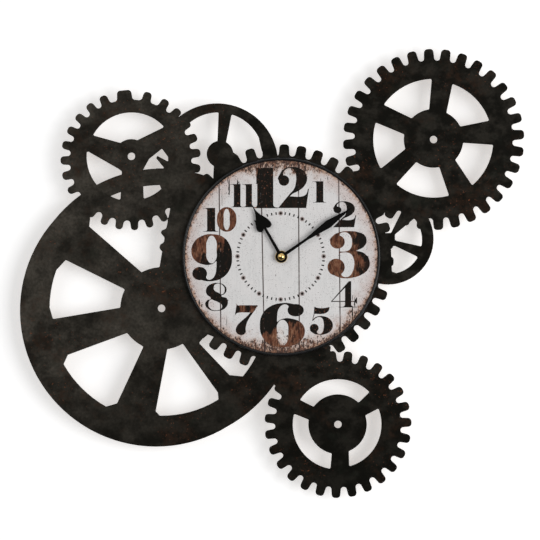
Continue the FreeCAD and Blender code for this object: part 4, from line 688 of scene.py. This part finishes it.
def new_piece(name, mesh, body, material):
    piece = bpy.data.objects.new(name, mesh)
    bpy.context.scene.collection.objects.link(piece)
    give(piece, material)
    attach(piece, body)
    return piece


def mesh_from(name, points, faces):
    mesh = bpy.data.meshes.new(name)
    mesh.from_pydata([tuple(point) for point in points], [], faces)
    mesh.update()
    return mesh


def shade(mesh, angle=35):
    """Smooth shading except over edges sharper than the angle, in degrees."""
    mesh.polygons.foreach_set("use_smooth", [True] * len(mesh.polygons))
    mesh.set_sharp_from_angle(angle=math.radians(angle))


def dial_point(x, z, lift):
    return Vector((DIAL_CENTRE.x + x, DIAL_FRONT - lift, DIAL_CENTRE.z + z))


def filled_outline(name, shapes, left, top, right, bottom, lift):
    """A flat mesh of the filled contours: Bezier curves through the points, with corners where marked."""
    meshes = []
    for order, contours in enumerate(shapes):
        curve = bpy.data.curves.new(f"{name}_{order}", "CURVE")
        curve.dimensions = "2D"
        curve.fill_mode = "BOTH"
        curve.resolution_u = CURVE_STEPS
        for contour in contours:
            spline = curve.splines.new("BEZIER")
            spline.bezier_points.add(len(contour) - 1)
            spline.use_cyclic_u = True
            for point, given in zip(spline.bezier_points, contour):
                x = left + (right - left) * given[0] / NUMERAL_BOX
                z = bottom + (top - bottom) * given[1] / NUMERAL_BOX
                point.co = (x, z, 0)
                kind = "VECTOR" if len(given) == 3 else "AUTO"
                point.handle_left_type = kind
                point.handle_right_type = kind
        holder = bpy.data.objects.new(f"{name}_{order}", curve)
        bpy.context.scene.collection.objects.link(holder)
        bpy.context.view_layer.update()
        flat = bpy.data.meshes.new_from_object(holder.evaluated_get(bpy.context.evaluated_depsgraph_get()))
        bpy.data.objects.remove(holder)
        meshes.append((flat, lift + order * SHAPE_STEP))
    points = []
    faces = []
    for flat, height in meshes:
        start = len(points)
        points += [dial_point(vertex.co.x * MM, vertex.co.y * MM, height) for vertex in flat.vertices]
        faces += [[start + index for index in polygon.vertices] for polygon in flat.polygons]
        bpy.data.meshes.remove(flat)
    mesh = mesh_from(name, points, faces)
    face_forward(mesh)
    return mesh


def face_forward(mesh):
    """Turns every face of a flat mesh towards the front."""
    work = bmesh.new()
    work.from_mesh(mesh)
    work.normal_update()
    bmesh.ops.reverse_faces(work, faces=[face for face in work.faces if face.normal.y > 0])
    work.to_mesh(mesh)
    work.free()
    mesh.update()


class CLOCK_OT_materials(bpy.types.Operator):
    """Makes every paint and finish, and gives them to the model's own pieces"""
    bl_idname = "clock.materials"
    bl_label = "Paints and finishes"

    def execute(self, context):
        make_materials()
        for name, material in NODE_MATERIALS.items():
            give(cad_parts[name], material)
        for name in ("cap_nut", "brass_washer", "setting_knob", "battery_cell", "threaded_bush"):
            shade(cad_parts[name].data)
        return {"FINISHED"}


def rounded_front(source, name, rounding):
    """The source's mesh with its front edges rounded.

    Each corner of the front face moves inwards by the rounding, along the mitre of the outline's two normals
    there, and its wall starts as far behind the front. Two strips follow the quarter circle between them.
    """
    work = bmesh.new()
    work.from_mesh(source)
    bmesh.ops.remove_doubles(work, verts=work.verts, dist=WELD)
    work.normal_update()
    front = {face for face in work.faces if face.normal.y < -FRONT_FACING}
    normals = {}
    rims = []
    for face in front:
        for loop in face.loops:
            if any(other in front for other in loop.edge.link_faces if other is not face):
                continue
            start, end = loop.vert, loop.link_loop_next.vert
            along = (end.co - start.co).normalized()
            outward = along.cross(Vector((0, -1, 0)))
            rims.append((start.index, end.index))
            for vertex in (start, end):
                normals.setdefault(vertex.index, []).append(outward)
    points = [vertex.co.copy() for vertex in work.verts]
    inner, middle = {}, {}
    for index, pair in normals.items():
        total = sum(pair, Vector())
        mitre = total / max(total.length_squared / len(pair), MITRE_LIMIT)
        corner = points[index].copy()
        centre = corner - mitre * rounding + Vector((0, rounding, 0))
        inner[index] = len(points)
        points.append(corner - mitre * rounding)
        middle[index] = len(points)
        points.append(centre + (mitre + Vector((0, -1, 0))) * rounding * math.sqrt(0.5))
        points[index] = corner + Vector((0, rounding, 0))
    faces = []
    flat = []
    for face in work.faces:
        corners = [vertex.index for vertex in face.verts]
        faces.append([inner.get(index, index) for index in corners] if face in front else corners)
        flat.append(abs(face.normal.y) > FRONT_FACING)
    for start, end in rims:
        faces.append([inner[end], inner[start], middle[start], middle[end]])
        faces.append([middle[end], middle[start], start, end])
    work.free()
    mesh = mesh_from(name, points, faces)
    shade(mesh)
    mesh.polygons.foreach_set("use_smooth", [not is_flat for is_flat in flat] + [True] * (2 * len(rims)))
    mesh.update()
    return mesh


class CLOCK_OT_board(bpy.types.Operator):
    """The cut board with softly rounded front edges, in place of the model's plain one"""
    bl_idname = "clock.board"
    bl_label = "Cut board"

    def execute(self, context):
        mesh = rounded_front(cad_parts["gear_board"].data, "cut_board",
                             context.scene.clock_sizes.edge_rounding)
        board = new_piece("cut_board", mesh, "clock", "board_paint")
        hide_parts("gear_board")
        return {"FINISHED"}


def wrapped_faces(rows, columns):
    """The quads of a grid of points that closes on itself both ways."""
    row = np.arange(rows)[:, None] * columns
    next_row = (row + columns) % (rows * columns)
    column = np.arange(columns)[None, :]
    next_column = (column + 1) % columns
    faces = np.stack((row + column, next_row + column, next_row + next_column, row + next_column), axis=-1)
    return faces.reshape(-1, 4).tolist()


def turned(name, profile, centre, steps):
    """A surface of revolution about the line through the centre along Y: the closed profile of (radius, y)
    goes round in equal steps."""
    profile = np.array(profile)
    turns = np.linspace(0, TURN, steps, endpoint=False)
    radius = profile[None, :, 0]
    points = np.stack((centre.x + radius * np.cos(turns)[:, None],
                       np.broadcast_to(profile[None, :, 1], (steps, len(profile))),
                       centre.z + radius * np.sin(turns)[:, None]), axis=-1).reshape(-1, 3)
    return mesh_from(name, points, wrapped_faces(steps, len(profile)))


class CLOCK_OT_rim(bpy.types.Operator):
    """The glossy round bead about the dial: a half circle and a flat back, turned about the dial's axis"""
    bl_idname = "clock.rim"
    bl_label = "Dial rim"

    def execute(self, context):
        low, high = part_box("dial_rim")
        outer = (high.x - low.x) / 2
        inner = DIAL_RADIUS + RIM_GAP
        half = (outer - inner) / 2
        turns = np.linspace(0, math.pi, RIM_ARC_STEPS)
        profile = [(outer - half + half * math.cos(turn), low.y + half - half * math.sin(turn)) for turn in turns]
        profile += [(inner, high.y), (outer, high.y)]
        mesh = turned("rim_bead", profile, (low + high) / 2, RIM_STEPS)
        work = bmesh.new()
        work.from_mesh(mesh)
        bmesh.ops.recalc_face_normals(work, faces=work.faces)
        work.to_mesh(mesh)
        work.free()
        shade(mesh)
        bead = new_piece("rim_bead", mesh, "clock", "rim_black")
        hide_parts("dial_rim")
        return {"FINISHED"}


class CLOCK_OT_knob(bpy.types.Operator):
    """The ridged grip of the setting knob: rings about its axis that swell and shrink as the cosine of 24 turns"""
    bl_idname = "clock.knob"
    bl_label = "Knob grip"

    def execute(self, context):
        low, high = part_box("setting_knob")
        centre = (low + high) / 2
        radius = (high.x - low.x) / 2
        turns = np.linspace(0, TURN, KNOB_RIDGES * RIDGE_STEPS, endpoint=False)
        ridge = RIDGE_HEIGHT * (1 + np.cos(KNOB_RIDGES * turns))
        # Each ring: its level, what is added to the knob's radius, and its share of the ridges
        level, step, share = np.array([
            (high.y - 0.00155, -0.0006, 0), (high.y - 0.0015, 0, 1), (high.y - 0.0003, 0, 1),
            (high.y + 0.00002, -0.0004, 0.4), (high.y + 0.00002, -0.0030, 0)]).T[:, :, None]
        reach = radius + step + share * ridge
        points = np.stack((centre.x + reach * np.cos(turns), np.broadcast_to(level, reach.shape),
                           centre.z + reach * np.sin(turns)), axis=-1).reshape(-1, 3)
        mesh = mesh_from("knob_grip", points, wrapped_faces(*reach.shape))
        shade(mesh, 50)
        new_piece("knob_grip", mesh, "knob", "white_plastic")
        return {"FINISHED"}


class CLOCK_OT_numerals(bpy.types.Operator):
    """The figures of the dial in worn ink"""
    bl_idname = "clock.numerals"
    bl_label = "Figures"

    def execute(self, context):
        lift = context.scene.clock_sizes.ink_lift
        for order, (name, shapes, left, top, right, bottom, ink) in enumerate(NUMERALS):
            mesh = filled_outline(f"figure_{name}", shapes, left, top, right, bottom, lift + order * FIGURE_STEP)
            new_piece(f"figure_{name}", mesh, "clock", f"ink_{ink}")
        return {"FINISHED"}


class CLOCK_OT_track(bpy.types.Operator):
    """The minute track: haloed hour dots, with four short ticks between each two"""
    bl_idname = "clock.track"
    bl_label = "Minute track"

    def execute(self, context):
        sizes = context.scene.clock_sizes
        turns = np.linspace(0, TURN, DOT_STEPS, endpoint=False)
        ring = np.column_stack((np.cos(turns), np.sin(turns)))
        dot = ring * sizes.dot_radius
        tick = np.array(((-1, -1), (1, -1), (1, 1), (-1, 1))) * (sizes.tick_width / 2, sizes.tick_length / 2)
        for name, material, lift, shapes in (
                ("minute_halos", "dot_halo", sizes.ink_lift, {0: dot * HALO_SHARE}),
                ("minute_track", "ink_black", sizes.ink_lift * TRACK_LIFT,
                 {0: dot, 1: tick, 2: tick, 3: tick, 4: tick})):
            points = []
            faces = []
            for step in range(MINUTES):
                if step % MINUTES_PER_HOUR_DOT not in shapes:
                    continue
                angle = TURN * step / MINUTES
                along = np.array((math.sin(angle), math.cos(angle)))
                across = np.array((math.cos(angle), -math.sin(angle)))
                shape = shapes[step % MINUTES_PER_HOUR_DOT]
                outline = along * sizes.track_radius + TRACK_SHIFT
                outline = outline + shape[:, :1] * across + shape[:, 1:] * along
                faces.append(list(range(len(points), len(points) + len(outline))))
                points += [dial_point(x, z, lift) for x, z in outline]
            mesh = mesh_from(name, points, faces)
            face_forward(mesh)
            new_piece(name, mesh, "clock", material)
        return {"FINISHED"}


class CLOCK_OT_cracks(bpy.types.Operator):
    """Dark cracks of the dial's paint: upright slivers, as wide as half a sine wave, with ragged sides"""
    bl_idname = "clock.cracks"
    bl_label = "Cracks"

    def execute(self, context):
        lift = context.scene.clock_sizes.ink_lift * CRACK_LIFT
        points = []
        faces = []
        rng = np.random.default_rng(CRACK_SEED)
        for x, top, bottom, width in CRACKS:
            steps = np.linspace(0, 1, CRACK_STEPS)
            swell = np.sin(np.pi * (0.08 + 0.84 * steps)) * width / 2
            left = x - swell * rng.uniform(0.45, 1.1, CRACK_STEPS)
            right = x + swell * rng.uniform(0.45, 1.1, CRACK_STEPS)
            level = top + (bottom - top) * steps
            outline = list(zip(left, level)) + list(zip(right[::-1], level[::-1]))
            faces.append(list(range(len(points), len(points) + len(outline))))
            points += [dial_point(px * MM, pz * MM, lift) for px, pz in outline]
        mesh = mesh_from("paint_cracks", points, faces)
        face_forward(mesh)
        new_piece("paint_cracks", mesh, "clock", "ink_black")
        return {"FINISHED"}


class CLOCK_OT_stage(bpy.types.Operator):
    """The white wall, the soft lights and the camera"""
    bl_idname = "clock.stage"
    bl_label = "Wall, lights and camera"

    def execute(self, context):
        make_wall()
        make_world(context.scene)
        make_lights()
        make_camera(context)
        return {"FINISHED"}


def make_wall():
    """A white wall that keeps the clock's shadow; from behind it is clear, so the back can be seen."""
    corners = [(WALL_HALF * x, WALL_LEVEL, WALL_HALF * z) for x, z in ((-1, -1), (1, -1), (1, 1), (-1, 1))]
    wall = bpy.data.objects.new("wall", mesh_from("wall", corners, [[0, 1, 2, 3]]))
    bpy.context.scene.collection.objects.link(wall)
    material = bpy.data.materials.new("wall_white")
    material.use_nodes = True
    tree = material.node_tree
    tree.nodes.clear()
    out = node(tree, "ShaderNodeOutputMaterial")
    diffuse = node(tree, "ShaderNodeBsdfDiffuse")
    diffuse.inputs["Color"].default_value = (0.8, 0.8, 0.8, 1)
    glow = node(tree, "ShaderNodeEmission")
    rays = node(tree, "ShaderNodeLightPath")
    seen = math_node(tree, "MAXIMUM", rays.outputs["Is Camera Ray"], rays.outputs["Is Glossy Ray"])
    tree.links.new(math_node(tree, "MULTIPLY", seen, WALL_GLOW), glow.inputs["Strength"])
    lit = node(tree, "ShaderNodeAddShader")
    tree.links.new(diffuse.outputs[0], lit.inputs[0])
    tree.links.new(glow.outputs[0], lit.inputs[1])
    clear = node(tree, "ShaderNodeBsdfTransparent")
    facing = node(tree, "ShaderNodeNewGeometry").outputs["Backfacing"]
    choose = node(tree, "ShaderNodeMixShader")
    tree.links.new(math_node(tree, "MAXIMUM", facing, rays.outputs["Is Shadow Ray"]), choose.inputs[0])
    tree.links.new(lit.outputs[0], choose.inputs[1])
    tree.links.new(clear.outputs[0], choose.inputs[2])
    tree.links.new(choose.outputs[0], out.inputs["Surface"])
    wall.data.materials.append(material)


def make_world(scene):
    """A pale grey surround that looks white to the camera; reflections see it darker below than above."""
    world = bpy.data.worlds.new("studio")
    scene.world = world
    world.use_nodes = True
    tree = world.node_tree
    background = tree.nodes["Background"]
    rays = node(tree, "ShaderNodeLightPath")
    seen = math_node(tree, "MAXIMUM", rays.outputs["Is Camera Ray"], rays.outputs["Is Transmission Ray"])
    direction = split(tree, node(tree, "ShaderNodeNewGeometry").outputs["Position"])
    upward = ramp(tree, direction["Z"], -0.35, 0.30, SURROUND_BELOW, SURROUND_ABOVE)
    plain = math_node(tree, "MULTIPLY_ADD", rays.outputs["Is Glossy Ray"],
                      math_node(tree, "SUBTRACT", upward, SURROUND), SURROUND)
    strength = math_node(tree, "MAXIMUM", seen, plain)
    background.inputs["Color"].default_value = (1, 1, 1, 1)
    tree.links.new(strength, background.inputs["Strength"])


def make_lights():
    """A large soft lamp from the right, a weaker one from the upper left, and two behind for the back."""
    for name, place, size, power in (
            ("key", (2.3, -2.6, -0.30), 2.3, 80), ("fill", (-2.2, -3.2, 1.2), 2.0, 24),
            ("back_left", (-1.9, 2.4, 0.8), 1.4, 26), ("back_right", (1.9, 2.4, -0.2), 1.4, 18)):
        lamp = bpy.data.lights.new(name, "AREA")
        lamp.size = size
        lamp.energy = power
        holder = bpy.data.objects.new(name, lamp)
        holder.location = place
        holder.rotation_euler = (DIAL_CENTRE - Vector(place)).to_track_quat("-Z", "Y").to_euler()
        bpy.context.scene.collection.objects.link(holder)


def make_camera(context):
    """Square on to the clock, as far off as its perspective asks, framed as in the photograph."""
    distance = context.scene.clock_sizes.camera_distance
    camera = bpy.data.cameras.new("camera")
    holder = bpy.data.objects.new("camera", camera)
    bpy.context.scene.collection.objects.link(holder)
    across, up = PHOTO_MIDDLE
    middle = Vector((DIAL_CENTRE.x + across * PHOTO_SCALE, BOARD_LOW.y, DIAL_CENTRE.z + up * PHOTO_SCALE))
    holder.location = middle - Vector((0, distance, 0))
    holder.rotation_euler = (math.pi / 2, 0, 0)
    camera.lens = camera.sensor_width * distance / (PHOTO_SIDE * PHOTO_SCALE)
    context.scene.camera = holder
    context.scene.view_settings.view_transform = "Standard"


class CLOCK_PT_panel(bpy.types.Panel):
    """Lists the clock's pieces"""
    bl_idname = "CLOCK_PT_panel"
    bl_label = "Gear wall clock"
    bl_space_type = "VIEW_3D"
    bl_region_type = "UI"
    bl_category = "Clock"

    def draw(self, context):
        for operator in OPERATORS:
            self.layout.operator(operator.bl_idname)
        for group in (context.scene.clock_sizes, context.scene.clock_colours):
            for name in group.bl_rna.properties.keys():
                if name not in {"rna_type", "name"}:
                    self.layout.prop(group, name)


OPERATORS = [CLOCK_OT_materials, CLOCK_OT_board, CLOCK_OT_rim, CLOCK_OT_knob, CLOCK_OT_numerals, CLOCK_OT_track,
             CLOCK_OT_cracks, CLOCK_OT_stage]
CLASSES = [ClockSizes, ClockColours, *OPERATORS, CLOCK_PT_panel]


def register():
    for item in CLASSES:
        bpy.utils.register_class(item)
    bpy.types.Scene.clock_sizes = PointerProperty(type=ClockSizes)
    bpy.types.Scene.clock_colours = PointerProperty(type=ClockColours)


def unregister():
    del bpy.types.Scene.clock_sizes
    del bpy.types.Scene.clock_colours
    for item in reversed(CLASSES):
        bpy.utils.unregister_class(item)


def main():
    register()
    bpy.ops.clock.materials()
    bpy.ops.clock.board()
    bpy.ops.clock.rim()
    bpy.ops.clock.knob()
    bpy.ops.clock.numerals()
    bpy.ops.clock.track()
    bpy.ops.clock.cracks()
    bpy.ops.clock.stage()


if __name__ == "__main__":
    main()
